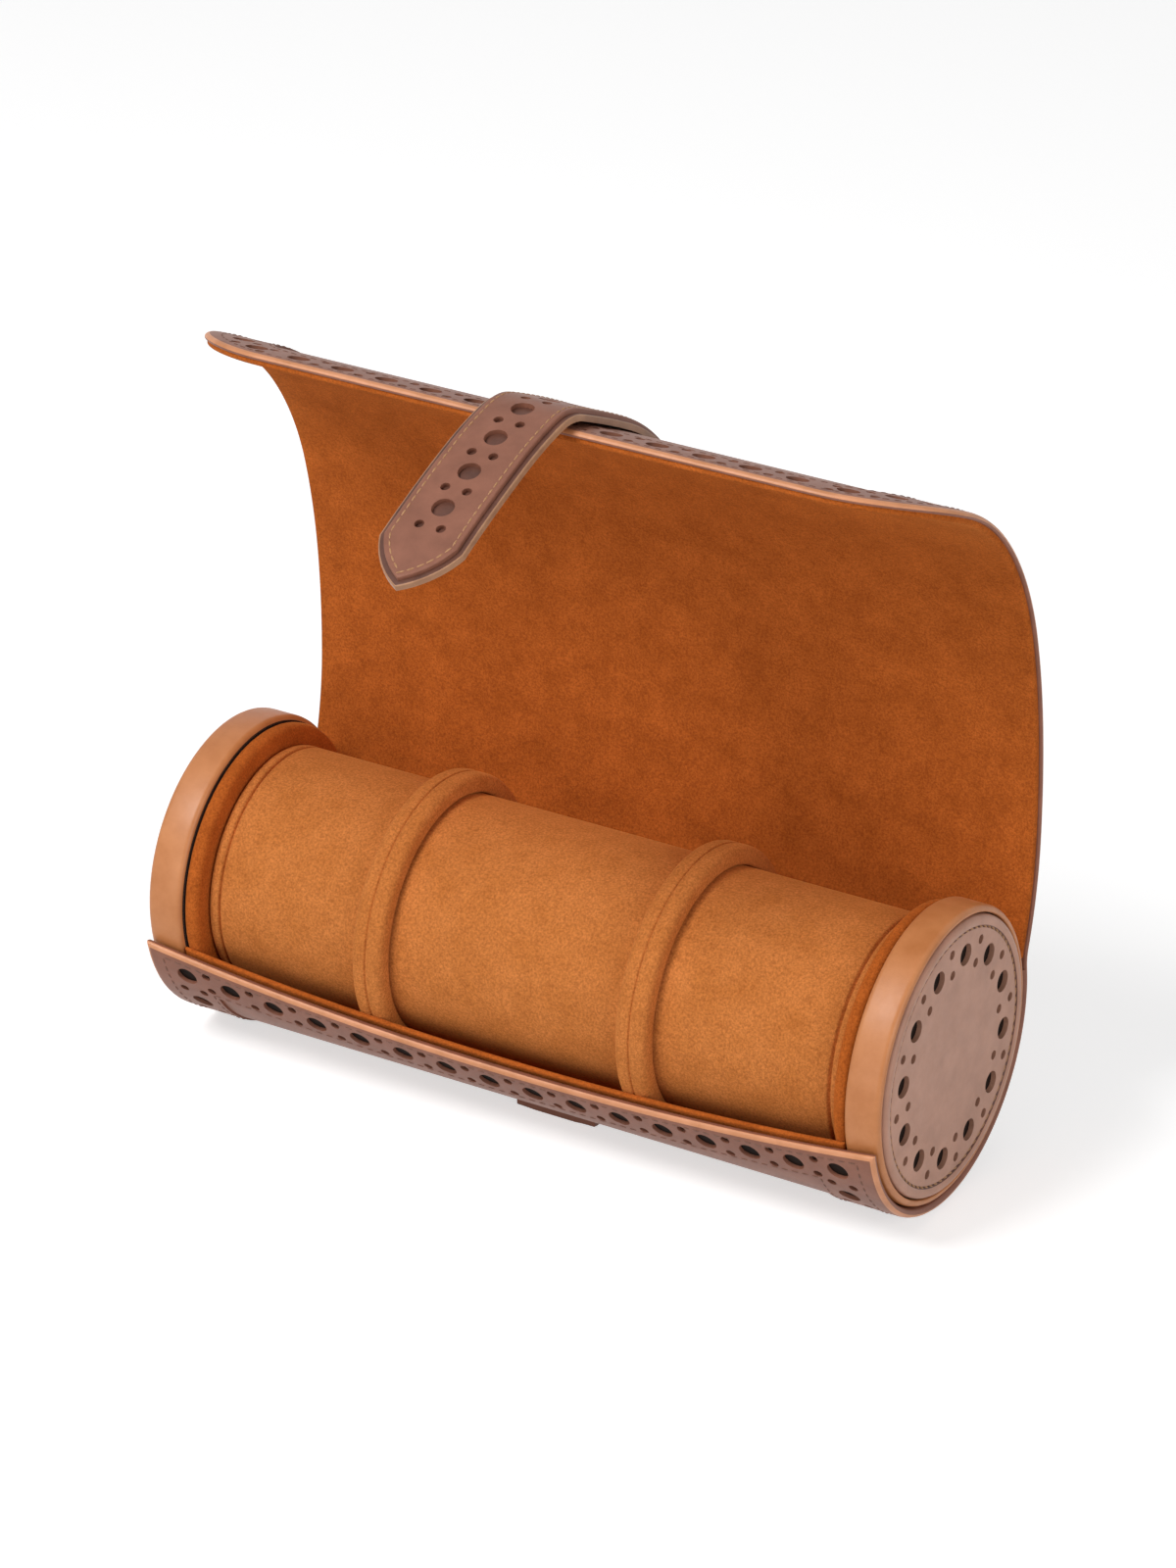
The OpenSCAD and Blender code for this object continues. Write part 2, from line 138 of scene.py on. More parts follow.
def seen_rays(tree: bpy.types.NodeTree) -> bpy.types.NodeSocket:
    """Tells what the camera sees from what lights the roll.

    Args:
        tree: The node tree that the nodes go in.

    Returns:
        A socket that is one for camera and glossy rays, and zero for other rays.
    """
    path = tree.nodes.new("ShaderNodeLightPath")
    either = tree.nodes.new("ShaderNodeMath")
    either.operation = "MAXIMUM"
    tree.links.new(path.outputs["Is Camera Ray"], either.inputs[0])
    tree.links.new(path.outputs["Is Glossy Ray"], either.inputs[1])
    return either.outputs[0]


class Shader:
    """A material's node tree, with one short way to add a node."""

    def __init__(self, name: str) -> None:
        """Makes the material with its Principled shader.

        Args:
            name: Name of the real finish.
        """
        self.material = bpy.data.materials.new(name)
        self.material.use_nodes = True
        self.tree = self.material.node_tree
        self.bsdf = self.tree.nodes["Principled BSDF"]

    def add(self, kind: str, settings: dict | None = None, **inputs: Feed) -> bpy.types.Node:
        """Adds a node, sets its properties and its inputs.

        Args:
            kind: Blender's type name of the node.
            settings: Properties of the node.
            inputs: Values or output sockets for its inputs, by name with
                spaces as underscores.

        Returns:
            The node.
        """
        node = self.tree.nodes.new(kind)
        for key, value in (settings or {}).items():
            setattr(node, key, value)
        for key, value in inputs.items():
            self.feed(node, key.replace("_", " "), value)
        return node

    def feed(self, node: bpy.types.Node, name: str | int, value: Feed) -> None:
        """Links a socket, or sets a value, on one input of a node.

        Args:
            node: The node.
            name: Name or number of its input.
            value: What goes in.
        """
        socket = node.inputs[name]
        if isinstance(value, bpy.types.NodeSocket):
            self.tree.links.new(value, socket)
        else:
            socket.default_value = value

    def coords(self, scale: float) -> bpy.types.NodeSocket:
        """Takes object coordinates, with one unit per so many millimetres.

        Args:
            scale: Millimetres per unit.

        Returns:
            The output socket.
        """
        source = self.add("ShaderNodeTexCoord").outputs["Object"]
        per_metre = 1 / (scale * MM)
        mapping = self.add("ShaderNodeMapping", None, Vector=source, Scale=(per_metre,) * 3)
        return mapping.outputs["Vector"]

    def noise(self, scale: float, detail: float, rough: float) -> bpy.types.NodeSocket:
        """Noise with features of about a given size.

        Args:
            scale: Size of the largest features in millimetres.
            detail: Number of finer layers.
            rough: Strength of the finer layers.

        Returns:
            The output socket.
        """
        return self.add(
            "ShaderNodeTexNoise", None, Vector=self.coords(scale), Scale=1.0,
            Detail=detail, Roughness=rough,
        ).outputs["Fac"]

    def ramp(self, fac: bpy.types.NodeSocket, *stops: tuple[float, str]) -> bpy.types.NodeSocket:
        """Colour ramp through hex colours.

        Args:
            fac: Where on the ramp.
            stops: Position and hex code of each colour.

        Returns:
            The output socket.
        """
        node = self.add("ShaderNodeValToRGB", None, Fac=fac)
        ramp = node.color_ramp
        while len(ramp.elements) < len(stops):
            ramp.elements.new(0.5)
        for element, (at, code) in zip(ramp.elements, stops):
            element.position = at
            element.color = linear(code)
        return node.outputs["Color"]

    def multiply(self, fac: Feed, a: Feed, b: Feed) -> bpy.types.NodeSocket:
        """Darkens one colour by another.

        Args:
            fac: How much of it.
            a: The colour.
            b: What it is multiplied by.

        Returns:
            The output socket.
        """
        node = self.add("ShaderNodeMix", {"data_type": "RGBA", "blend_type": "MULTIPLY"})
        self.feed(node, MIX_FACTOR, fac)
        self.feed(node, MIX_A, a)
        self.feed(node, MIX_B, b)
        return node.outputs[MIX_RESULT]

    def bump(self, height: bpy.types.NodeSocket, distance: float, strength: float,
             under: bpy.types.NodeSocket | None = None) -> bpy.types.NodeSocket:
        """Bump of a real height, over an earlier bump.

        Args:
            height: Height from 0 to 1.
            distance: Height in millimetres that 1 stands for.
            strength: Strength of the bump.
            under: The earlier bump.

        Returns:
            The output socket.
        """
        inputs = {"Height": height, "Distance": distance * MM, "Strength": strength}
        if under is not None:
            inputs["Normal"] = under
        return self.add("ShaderNodeBump", None, **inputs).outputs["Normal"]

    def finish(self, **inputs: Feed) -> bpy.types.Material:
        """Sets inputs of the Principled shader.

        Args:
            inputs: Values or output sockets, by name with spaces as underscores.

        Returns:
            The material.
        """
        for key, value in inputs.items():
            self.feed(self.bsdf, key.replace("_", " "), value)
        return self.material


@dataclass(frozen=True)
class Leather:
    """Smooth dressed leather with a fine pebbled grain.

    Attributes:
        name: Name of the finish.
        light: Hex code of its lighter patches.
        dark: Hex code of its darker patches.
        roughness: Mean roughness.
        grain: Height of the pebbles in mm.
        shine: Level of its reflections.
        patch: Size of the patches in mm.
        fold: Size of the soft folds in mm.
        cell: Size of the pebbles in mm.
        pore: Size of the pores in mm.
    """

    name: str
    light: str
    dark: str
    roughness: float = 0.5
    grain: float = 0.05
    shine: float = 0.3
    patch: float = 9.0
    fold: float = 2.6
    cell: float = 0.9
    pore: float = 0.35

    def build(self) -> bpy.types.Material:
        """Builds the material.

        Returns:
            The material.
        """
        s = Shader(self.name)
        cloud = s.noise(self.patch, 5.0, 0.6)
        colour = s.ramp(cloud, (0.3, self.dark), (0.7, self.light))
        cells = s.add(
            "ShaderNodeTexVoronoi", {"feature": "DISTANCE_TO_EDGE"}, Vector=s.coords(self.cell),
            Scale=1.0,
        ).outputs["Distance"]
        fold = s.noise(self.fold, 5.0, 0.6)
        pore = s.noise(self.pore, 3.0, 0.6)
        normal = s.bump(fold, self.grain * 2.2, 0.5)
        normal = s.bump(cells, self.grain, 0.5, normal)
        normal = s.bump(pore, self.grain * 0.5, 0.6, normal)
        rough = s.add("ShaderNodeMapRange", None, Value=fold, To_Min=self.roughness - 0.07,
                      To_Max=self.roughness + 0.1).outputs["Result"]
        return s.finish(Base_Color=colour, Roughness=rough, Normal=normal,
                        Specular_IOR_Level=self.shine)


@dataclass(frozen=True)
class Suede:
    """Brushed suede: a short nap that lightens at grazing angles.

    Attributes:
        name: Name of the finish.
        light: Hex code of its lighter patches.
        dark: Hex code of its darker patches.
        sheen: Strength of the light on the ends of the nap.
        patch: Size of the brushed patches in mm.
        tuft: Size of the tufts of the nap in mm.
        tuft_h: Height of the tufts in mm.
    """

    name: str
    light: str
    dark: str
    sheen: float = 0.35
    patch: float = 11.0
    tuft: float = 0.65
    tuft_h: float = 0.16

    def build(self) -> bpy.types.Material:
        """Builds the material.

        Returns:
            The material.
        """
        s = Shader(self.name)
        brushed = s.noise(self.patch, 7.0, 0.7)
        nap = s.noise(self.tuft, 4.0, 0.8)
        colour = s.ramp(brushed, (0.28, self.dark), (0.72, self.light))
        fleck = s.ramp(nap, (0.36, "866652"), (0.62, "FFFFFF"))
        colour = s.multiply(0.55, colour, fleck)
        normal = s.bump(brushed, 0.12, 0.35)
        normal = s.bump(nap, self.tuft_h, 0.9, normal)
        return s.finish(Base_Color=colour, Roughness=0.95, Normal=normal,
                        Sheen_Weight=self.sheen, Sheen_Roughness=0.45,
                        Sheen_Tint=linear("E79A4C"), Specular_IOR_Level=0.15)


@dataclass(frozen=True)
class Plain:
    """A plain finish with a faint unevenness, for thread, board and metal.

    Attributes:
        name: Name of the finish.
        light: Hex code of its lighter patches.
        dark: Hex code of its darker patches.
        roughness: Roughness.
        metallic: One for metal.
        size: Size of the unevenness in mm.
    """

    name: str
    light: str
    dark: str
    roughness: float = 0.7
    metallic: float = 0.0
    size: float = 3.0

    def build(self) -> bpy.types.Material:
        """Builds the material.

        Returns:
            The material.
        """
        s = Shader(self.name)
        cloud = s.noise(self.size, 4.0, 0.6)
        colour = s.ramp(cloud, (0.3, self.dark), (0.7, self.light))
        return s.finish(Base_Color=colour, Roughness=self.roughness, Metallic=self.metallic,
                        Normal=s.bump(cloud, 0.04, 0.5))


@dataclass(frozen=True)
class Paper:
    """White paper that looks white to the camera and keeps the roll's shadow.

    Attributes:
        name: Name of the finish.
        colour: Hex code.
        glow: Light of its own that only camera and glossy rays see.
    """

    name: str
    colour: str
    glow: float

    def build(self) -> bpy.types.Material:
        """Builds the material.

        Returns:
            The material.
        """
        s = Shader(self.name)
        glow = s.add("ShaderNodeMath", {"operation": "MULTIPLY"})
        s.feed(glow, 0, seen_rays(s.tree))
        s.feed(glow, 1, self.glow)
        return s.finish(Base_Color=linear(self.colour), Roughness=0.9,
                        Emission_Color=linear("FFFFFF"), Emission_Strength=glow.outputs[0])


# Materials that are built already, by the names in Finish
BUILT: dict[str, bpy.types.Material] = {}


class Finish(Enum):
    """Every finish of the roll, by its real name."""

    # Grey-brown dressed leather of the wrap, its borders and the strap
    BROWN = Leather("brown_calf_leather", "925F4B", "7E503E", 0.46, 0.05, 0.3)
    # The same leather on the end discs, painted paler as the broad sheen that they reflect
    SHEEN_LIT = Leather("sheen_lit_calf_leather", "BC8B74", "A87A64", 0.44, 0.05, 0.45)
    # Tan smooth leather round the rims of the end caps
    TAN = Leather("tan_calf_leather", "C68250", "B4703E", 0.42, 0.035, 0.45)
    # Nearly black leather that shows at the bottom of the holes
    DARK = Leather("black_split_leather", "1E120C", "0E0805", 0.7, 0.04, 0.1)
    # Folded edge of the borders, painted a lighter tan as the highlight along its rolled edge
    FOLD_HIGHLIGHT = Leather("folded_edge_highlight", "D8946A", "BC7A4C", 0.42, 0.03, 0.5)
    # Burnished leather between the plies of the strap, dark at its margin; darkened further as
    # painted shade at the bottom of the strap's holes and in the seam groove of the end discs
    BURNISHED_AND_SHADE = Leather("burnished_and_shade_leather", "6E4638", "4E3026", 0.45, 0.04)
    # Lighter painted cut edge of the strap
    EDGE = Leather("painted_leather_edge", "B88A68", "94694E", 0.42, 0.02)
    # Suede of the lining and of the guard rings: the padding's suede, painted darker and redder as
    # the shade that falls on them
    LINING = Suede("shade_darkened_lining_suede", "D06E2A", "AC561A")
    # Suede of the padded cylinder and of the divider rings
    PADDING = Suede("padding_suede", "DE8A48", "C67636")
    # Tan waxed thread of the strap and the end discs
    THREAD = Plain("waxed_thread", "B88A60", "94683F", 0.6, 0.0, 0.6)
    # Brown waxed thread of the borders
    TONAL = Plain("tonal_thread", "7A4E3A", "5A3626", 0.6, 0.0, 0.6)
    # Grey board of the tube, its plugs and the cores of the divider rings
    BOARD = Plain("grey_board", "B9A68C", "A08C70", 0.9)
    # Board of the end caps, painted nearly black as the shade in the gap between rim and guard ring,
    # where its edge shows
    GAP_SHADE = Plain("gap_shade_board", "2E2018", "1C120C", 0.9)
    # Nickel plated hidden magnets
    MAGNET = Plain("nickel_plate", "B8B8B8", "9A9A9A", 0.3, 1.0)
    # White paper of the floor
    PAPER = Paper("white_paper", "DADADA", 0.6)

    @property
    def material(self) -> bpy.types.Material:
        """The finish's material, built the first time it is asked for."""
        if self.name not in BUILT:
            BUILT[self.name] = self.value.build()
        return BUILT[self.name]


# Profiles


@dataclass(frozen=True)
class Arc:
    """One arc of a profile in the Y-Z plane, in millimetres and degrees.

    The sweep is negative where the arc is hollow on the outside.
    """

    centre: tuple[float, float]
    radius: float
    start: float
    sweep: float

    @property
    def length(self) -> float:
        """Length along the arc."""
        return self.radius * math.radians(abs(self.sweep))

    def at(self, s: float, depth: float) -> tuple[float, float]:
        """Finds a place in Y and Z.

        Args:
            s: Distance along the arc.
            depth: Distance inwards from it.

        Returns:
            The place.
        """
        turn = 1 if self.sweep > 0 else -1
        angle = math.radians(self.start) + turn * s / self.radius
        reach = self.radius - turn * depth
        return self.centre[0] + reach * math.cos(angle), self.centre[1] + reach * math.sin(angle)


class Profile:
    """A chain of arcs that sheets are laid round."""

    def __init__(self, arcs: Iterable[Arc]) -> None:
        """Takes the arcs of the chain.

        Args:
            arcs: The arcs in order, each starting where the last one ends.
        """
        self.arcs = list(arcs)
        self.starts = [sum(a.length for a in self.arcs[:i]) for i in range(len(self.arcs))]
        self.length = sum(a.length for a in self.arcs)

    @classmethod
    def chain(cls, pos: tuple[float, float], direction: float,
              steps: Iterable[tuple[float, float]]) -> "Profile":
        """Builds a profile from a start and (length, turn) steps.

        Args:
            pos: Start in Y and Z.
            direction: Start direction in degrees.
            steps: Length in mm and turn in degrees of each arc.

        Returns:
            The profile.
        """
        arcs = []
        y, z = pos
        for length, turn in steps:
            radius = length / math.radians(abs(turn))
            side = 1 if turn > 0 else -1
            way = math.radians(direction)
            centre = (y - side * radius * math.sin(way), z + side * radius * math.cos(way))
            arc = Arc(centre, radius, direction - 90 * side, turn)
            arcs.append(arc)
            y, z = arc.at(length, 0)
            direction += turn
        return cls(arcs)

    def start_of(self, index: int) -> float:
        """The s at which an arc starts."""
        return self.starts[index]

    def point(self, x: float, s: float, depth: float = 0.0) -> Vector:
        """Finds a point of the row frame.

        Args:
            x: Place across the roll in mm.
            s: Distance along the profile in mm.
            depth: Distance inwards from it in mm.

        Returns:
            The point in metres.
        """
        index = 0
        while index + 1 < len(self.arcs) and s > self.starts[index + 1]:
            index += 1
        y, z = self.arcs[index].at(s - self.starts[index], depth)
        return Vector((x, y, z + AXIS_Z)) * MM


def heading(vector: Vector) -> float:
    """Direction of a flat vector in degrees."""
    return math.degrees(math.atan2(vector.y, vector.x))


def cover_arcs() -> list[Arc]:
    """Works out the outer faces of the cover's six parts.

    Returns:
        One arc for each part, from the hinge on.
    """
    place = Vector(HINGE)
    direction = COVER_DIR
    arcs = []
    for turn in COVER_TURNS:
        radius = SEG_LEN / math.radians(turn)
        way = math.radians(direction)
        centre = place + radius * Vector((-math.sin(way), math.cos(way)))
        arcs.append(Arc(tuple(centre), radius + SKIN_T, direction - 90, turn))
        end = math.radians(direction - 90 + turn)
        place = centre + radius * Vector((math.cos(end), math.sin(end)))
        direction += turn
    return arcs


def wrap_profile(fold_r: float = 12.0) -> Profile:
    """Works out the whole outside of trough and cover, which meet in a hollow fold.

    Args:
        fold_r: Radius of that fold.

    Returns:
        The profile, from the front lip to the free edge.
    """
    parts = cover_arcs()
    first = parts[0]
    hub = Vector(first.centre)
    reach_a = OUTER_R + fold_r
    reach_b = first.radius + fold_r
    span = hub.length
    along = (reach_a ** 2 - reach_b ** 2 + span ** 2) / (2 * span)
    off = math.sqrt(reach_a ** 2 - along ** 2)
    unit = hub / span
    fold = unit * along + Vector((unit.y, -unit.x)) * off
    leave = heading(fold)
    meet = heading(fold - hub)
    to_hub = heading(hub - fold)
    trough = Arc((0.0, 0.0), OUTER_R, LIP_MID, 360 + leave - LIP_MID)
    hollow = Arc(tuple(fold), fold_r, leave + 180, to_hub - (leave + 180))
    rest = Arc(first.centre, first.radius, meet, first.start + first.sweep - meet)
    return Profile([trough, hollow, rest, *parts[1:]])


WRAP = wrap_profile()
TROUGH_END = WRAP.start_of(1)


def middle_of(part: int) -> float:
    """Finds the middle of a part of the cover.

    Args:
        part: Its number, from 1.

    Returns:
        Distance along the wrap.
    """
    arc = WRAP.arcs[part + 1]
    half = math.radians(COVER_TURNS[part - 1] / 2) * arc.radius
    end = WRAP.starts[part + 1] + arc.length
    return end - half


def lip_rise(x: float) -> float:
    """Works out the arc of the front lip.

    Args:
        x: Place across the roll.

    Returns:
        How far the lip stands above its middle there, along the wrap.
    """
    mid = math.sin(math.radians(LIP_MID)) * OUTER_R
    end = math.sin(math.radians(LIP_END)) * OUTER_R
    dip = end - mid
    bow = (WRAP_X ** 2 + dip ** 2) / (2 * dip)
    z = mid + bow - math.sqrt(bow ** 2 - x ** 2)
    return math.radians(LIP_MID - 180 + math.degrees(math.asin(z / OUTER_R))) * OUTER_R


# Flat sheets


# Steps of a rounded corner, of an arched lip and of a rounded rim
CORNER_STEPS = 18
LIP_STEPS = 48
RIM_STEPS = 4


@dataclass(frozen=True)
class Hole:
    """A punched hole of a flat pattern."""

    x: float
    s: float
    radius: float

    @property
    def sides(self) -> int:
        """Number of sides, more for a large hole."""
        return 36 if self.radius > 2 else 20


@dataclass(frozen=True)
class Outline:
    """A rectangle of a flat pattern.

    Attributes:
        x0: Left side.
        x1: Right side.
        s0: Near end.
        s1: Far end.
        corner: Radius of its far corners.
        bow: How far its near end stands out, by place across the roll.
    """

    x0: float
    x1: float
    s0: float
    s1: float
    corner: float = 0.0
    bow: Callable[[float], float] | None = None

    def inset(self, side: float, end: float) -> "Outline":
        """Draws the outline in.

        Args:
            side: How far from each side.
            end: How far from both ends.

        Returns:
            The smaller outline.
        """
        corner = max(self.corner - end, 0)
        return Outline(self.x0 + side, self.x1 - side, self.s0 + end, self.s1 - end, corner, self.bow)

    def draw(self, bm: bmesh.types.BMesh) -> bmesh.types.BMFace:
        """Draws the outline as one flat face.

        Args:
            bm: The mesh that it is drawn in.

        Returns:
            The face.
        """
        made = bmesh.ops.create_grid(bm, x_segments=1, y_segments=1, size=1.0)
        for v in made["verts"]:
            v.co.x = self.x1 if v.co.x > 0 else self.x0
            v.co.y = self.s1 if v.co.y > 0 else self.s0
        face = made["verts"][0].link_faces[0]
        if self.corner:
            far = [v for v in face.verts if abs(v.co.y - self.s1) < NEAR]
            bmesh.ops.bevel(bm, geom=far, affect="VERTICES", offset=self.corner,
                            segments=CORNER_STEPS, profile=0.5, material=-1)
            face = max(bm.faces, key=lambda f: f.calc_area())
        if self.bow:
            near = [e for e in face.edges if all(abs(v.co.y - self.s0) < NEAR for v in e.verts)]
            bmesh.ops.subdivide_edges(bm, edges=near, cuts=LIP_STEPS - 1)
            face = bm.faces[:][-1]
            for v in face.verts:
                if abs(v.co.y - self.s0) < NEAR:
                    v.co.y -= self.bow(v.co.x)
        return face


def round_rim(bm: bmesh.types.BMesh, face: bmesh.types.BMFace, size: tuple[float, float],
              top: float, down: int = 1) -> None:
    """Rounds the rim of a flat face, in rings with material index 1 but for the last.

    Args:
        bm: The mesh.
        face: The face, which stays as the flat middle.
        size: Width and height of the rim.
        top: Depth of the flat middle.
        down: One where the rim falls to a greater depth, minus one to a smaller.
    """
    width, height = size
    for i in range(RIM_STEPS):
        angle = math.radians(90 * i / RIM_STEPS)
        after = math.radians(90 * (i + 1) / RIM_STEPS)
        for v in face.verts:
            v.co.z = -top - down * height * (1 - math.sin(angle))
        made = bmesh.ops.inset_region(bm, faces=[face], use_boundary=True, use_even_offset=True,
                                      thickness=width * (math.cos(angle) - math.cos(after)))
        for ring in made["faces"]:
            # Index 1 takes an object's second finish; on the border that is the painted highlight of
            # its folded edge
            ring.material_index = 1 if i < RIM_STEPS - 1 else 0
    for v in face.verts:
        v.co.z = -top


def refill(bm: bmesh.types.BMesh, face: bmesh.types.BMFace, holes: Iterable[Hole], top: float,
           window: Outline | None = None) -> None:
    """Fills a flat face again, round its holes and its window.

    Args:
        bm: The mesh.
        face: The face, which is deleted.
        holes: The holes.
        top: Depth of the face.
        window: An outline that stays open.
    """
    edges = list(face.edges)
    bmesh.ops.delete(bm, geom=[face], context="FACES_ONLY")
    for hole in holes:
        place = Matrix.Translation((hole.x, hole.s, -top))
        made = bmesh.ops.create_circle(bm, cap_ends=False, radius=hole.radius,
                                       segments=hole.sides, matrix=place)
        edges += {e for v in made["verts"] for e in v.link_edges}
    if window:
        inner = window.draw(bm)
        for v in inner.verts:
            v.co.z = -top
        edges += list(inner.edges)
        bmesh.ops.delete(bm, geom=[inner], context="FACES_ONLY")
    bmesh.ops.triangle_fill(bm, edges=edges, use_beauty=True, use_dissolve=False,
                            normal=(0, 0, 1))


@dataclass
class Sheet:
    """A flat sheet, cut from an outline and laid round a profile.

    Attributes:
        outline: Outer edge.
        top: Depth of its rounded face below the profile.
        base: Depth of its other face below the profile.
        rim: Height of the rounded rim of the first face.
        holes: Punched holes.
        window: Outline that is left open inside it.
        roll: Width of that rim as a multiple of its height.
    """

    outline: Outline
    top: float
    base: float
    rim: float = 0.5
    holes: list[Hole] = field(default_factory=list)
    window: Outline | None = None
    roll: float = 1.0

    def flat(self) -> bmesh.types.BMesh:
        """Draws the flat sheet, with the height of its face in z.

        Returns:
            The mesh.
        """
        bm = bmesh.new()
        face = self.outline.draw(bm)
        down = 1 if self.base > self.top else -1
        round_rim(bm, face, (self.rim * self.roll, self.rim), self.top, down)
        if self.holes or self.window or self.outline.bow:
            refill(bm, face, self.holes, self.top, self.window)
        return bm

    def lay(self, flat: bmesh.types.BMesh, s0: float, s1: float, profile: Profile,
            step: float = 1.5, wide: float = 9.0, least_r: float = 0.0) -> bmesh.types.BMesh:
        """Cuts a stretch out of the flat sheet and lays it on the profile.

        Args:
            flat: The mesh from flat().
            s0: Where the stretch starts.
            s1: Where the stretch ends.
            profile: What it is laid round.
            step: Spacing of the cuts along s.
            wide: Spacing of the cuts across.
            least_r: Least distance from the axis of the roll.

        Returns:
            The solid stretch, in the row frame.
        """
        bm = flat.copy()
        low = min(v.co.y for v in bm.verts)
        high = max(v.co.y for v in bm.verts)
        for place, side in ((s0, -1), (s1, 1)):
            if low < place < high:
                score(bm, (0, place, 0), (0, side, 0), True)
        first, last = max(s0, low), min(s1, high)
        count = max(2, round((last - first) / step))
        for k in range(1, count):
            score(bm, (0, first + (last - first) * k / count, 0), (0, 1, 0))
        across = max(1, round((self.outline.x1 - self.outline.x0) / wide))
        for k in range(1, across):
            x = self.outline.x0 + (self.outline.x1 - self.outline.x0) * k / across
            score(bm, (x, 0, 0), (1, 0, 0))
        made = bmesh.ops.extrude_face_region(bm, geom=bm.faces[:])
        for item in made["geom"]:
            if isinstance(item, bmesh.types.BMVert):
                item.co.z = -self.base
        wrap(bm, profile, least_r)
        return bm


def score(bm: bmesh.types.BMesh, place: tuple, normal: tuple, cut: bool = False) -> None:
    """Splits the faces of a flat sheet along a line.

    Args:
        bm: The mesh.
        place: A place on the line.
        normal: Direction square to it.
        cut: Whether what lies past the line is cut off.
    """
    bmesh.ops.bisect_plane(bm, geom=bm.verts[:] + bm.edges[:] + bm.faces[:], plane_co=place,
                           plane_no=normal, clear_outer=cut)


def wrap(bm: bmesh.types.BMesh, profile: Profile, least_r: float = 0.0) -> None:
    """Lays flat coordinates (x, s, height) round a profile.

    Args:
        bm: The mesh, flat in mm before and in the row frame after.
        profile: What it is laid round.
        least_r: Least distance from the axis of the roll.
    """
    for v in bm.verts:
        place = profile.point(v.co.x, v.co.y, -v.co.z)
        off = Vector((place.y, place.z - AXIS_Z * MM))
        if off.length < least_r * MM:
            off *= least_r * MM / off.length
            place.y, place.z = off.x, off.y + AXIS_Z * MM
        v.co = place


def add_object(name: str, bm: bmesh.types.BMesh, finish: Finish, crease: float = 38.0,
               second: Finish | None = None) -> bpy.types.Object:
    """Turns a mesh into a shown object.

    Args:
        name: Name of the piece.
        bm: Its mesh in the row frame; it is freed.
        finish: Its finish.
        crease: Angle in degrees above which an edge stays sharp.
        second: Finish of its faces with material index 1.

    Returns:
        The object.
    """
    bmesh.ops.recalc_face_normals(bm, faces=bm.faces[:])
    for face in bm.faces:
        face.smooth = True
    for edge in bm.edges:
        edge.smooth = edge.calc_face_angle(math.pi) < math.radians(crease)
    mesh = bpy.data.meshes.new(name)
    bm.to_mesh(mesh)
    bm.free()
    mesh.materials.append(finish.material)
    if second:
        mesh.materials.append(second.material)
    obj = bpy.data.objects.new(name, mesh)
    bpy.context.scene.collection.objects.link(obj)
    return obj


# Thread


@dataclass(frozen=True)
class Stitch:
    """One stitch in a flat pattern, with its direction in degrees."""

    x: float
    s: float
    angle: float


# Half length, half width and half height of a stitch, and how deep its middle lies
STITCH = (1.25, 0.3, 0.26)
STITCH_DEPTH = 0.06


def seam(path: list[tuple[float, float]], pitch: float = 3.1) -> list[Stitch]:
    """Spreads stitches along an open path.

    Args:
        path: Flat points.
        pitch: Spacing of the stitches.

    Returns:
        The stitches.
    """
    stitches = []
    points = [Vector(p) for p in path]
    lengths = [(b - a).length for a, b in zip(points, points[1:])]
    count = max(1, round(sum(lengths) / pitch))
    for k in range(count):
        target = sum(lengths) * (k + 0.5) / count
        for a, b, length in zip(points, points[1:], lengths):
            if target <= length:
                spot = a.lerp(b, target / length)
                stitches.append(Stitch(spot.x, spot.y, heading(b - a)))
                break
            target -= length
    return stitches


def sew(stitches: Iterable[Stitch], drop: float = 0.0) -> bmesh.types.BMesh:
    """Models stitches as small threads, half sunk in a flat sheet.

    Args:
        stitches: The stitches.
        drop: Depth of the sheet's face below the profile.

    Returns:
        The flat mesh.
    """
    bm = bmesh.new()
    for stitch in stitches:
        place = (
            Matrix.Translation((stitch.x, stitch.s, -drop - STITCH_DEPTH))
            @ Matrix.Rotation(math.radians(stitch.angle), 4, "Z")
            @ Matrix.Diagonal((*STITCH, 1))
        )
        bmesh.ops.create_uvsphere(bm, u_segments=6, v_segments=4, radius=1.0, matrix=place)
    return bm


def rounded_path(outline: Outline, s_from: float, steps: int = 12) -> list[tuple[float, float]]:
    """Follows the two sides and the far end of an outline.

    Args:
        outline: The outline.
        s_from: Where the path starts and ends.
        steps: Steps in each corner.

    Returns:
        The points of one path.
    """
    r = outline.corner
    path = [(outline.x0, s_from), (outline.x0, outline.s1 - r)]
    for hub, start, first in ((outline.x0 + r, 180, 1), (outline.x1 - r, 90, 0)):
        for k in range(first, steps + 1):
            a = math.radians(start - 90 / steps * k)
            path.append((hub + r * math.cos(a), outline.s1 - r + r * math.sin(a)))
    path.append((outline.x1, s_from))
    return path


# Turned pieces


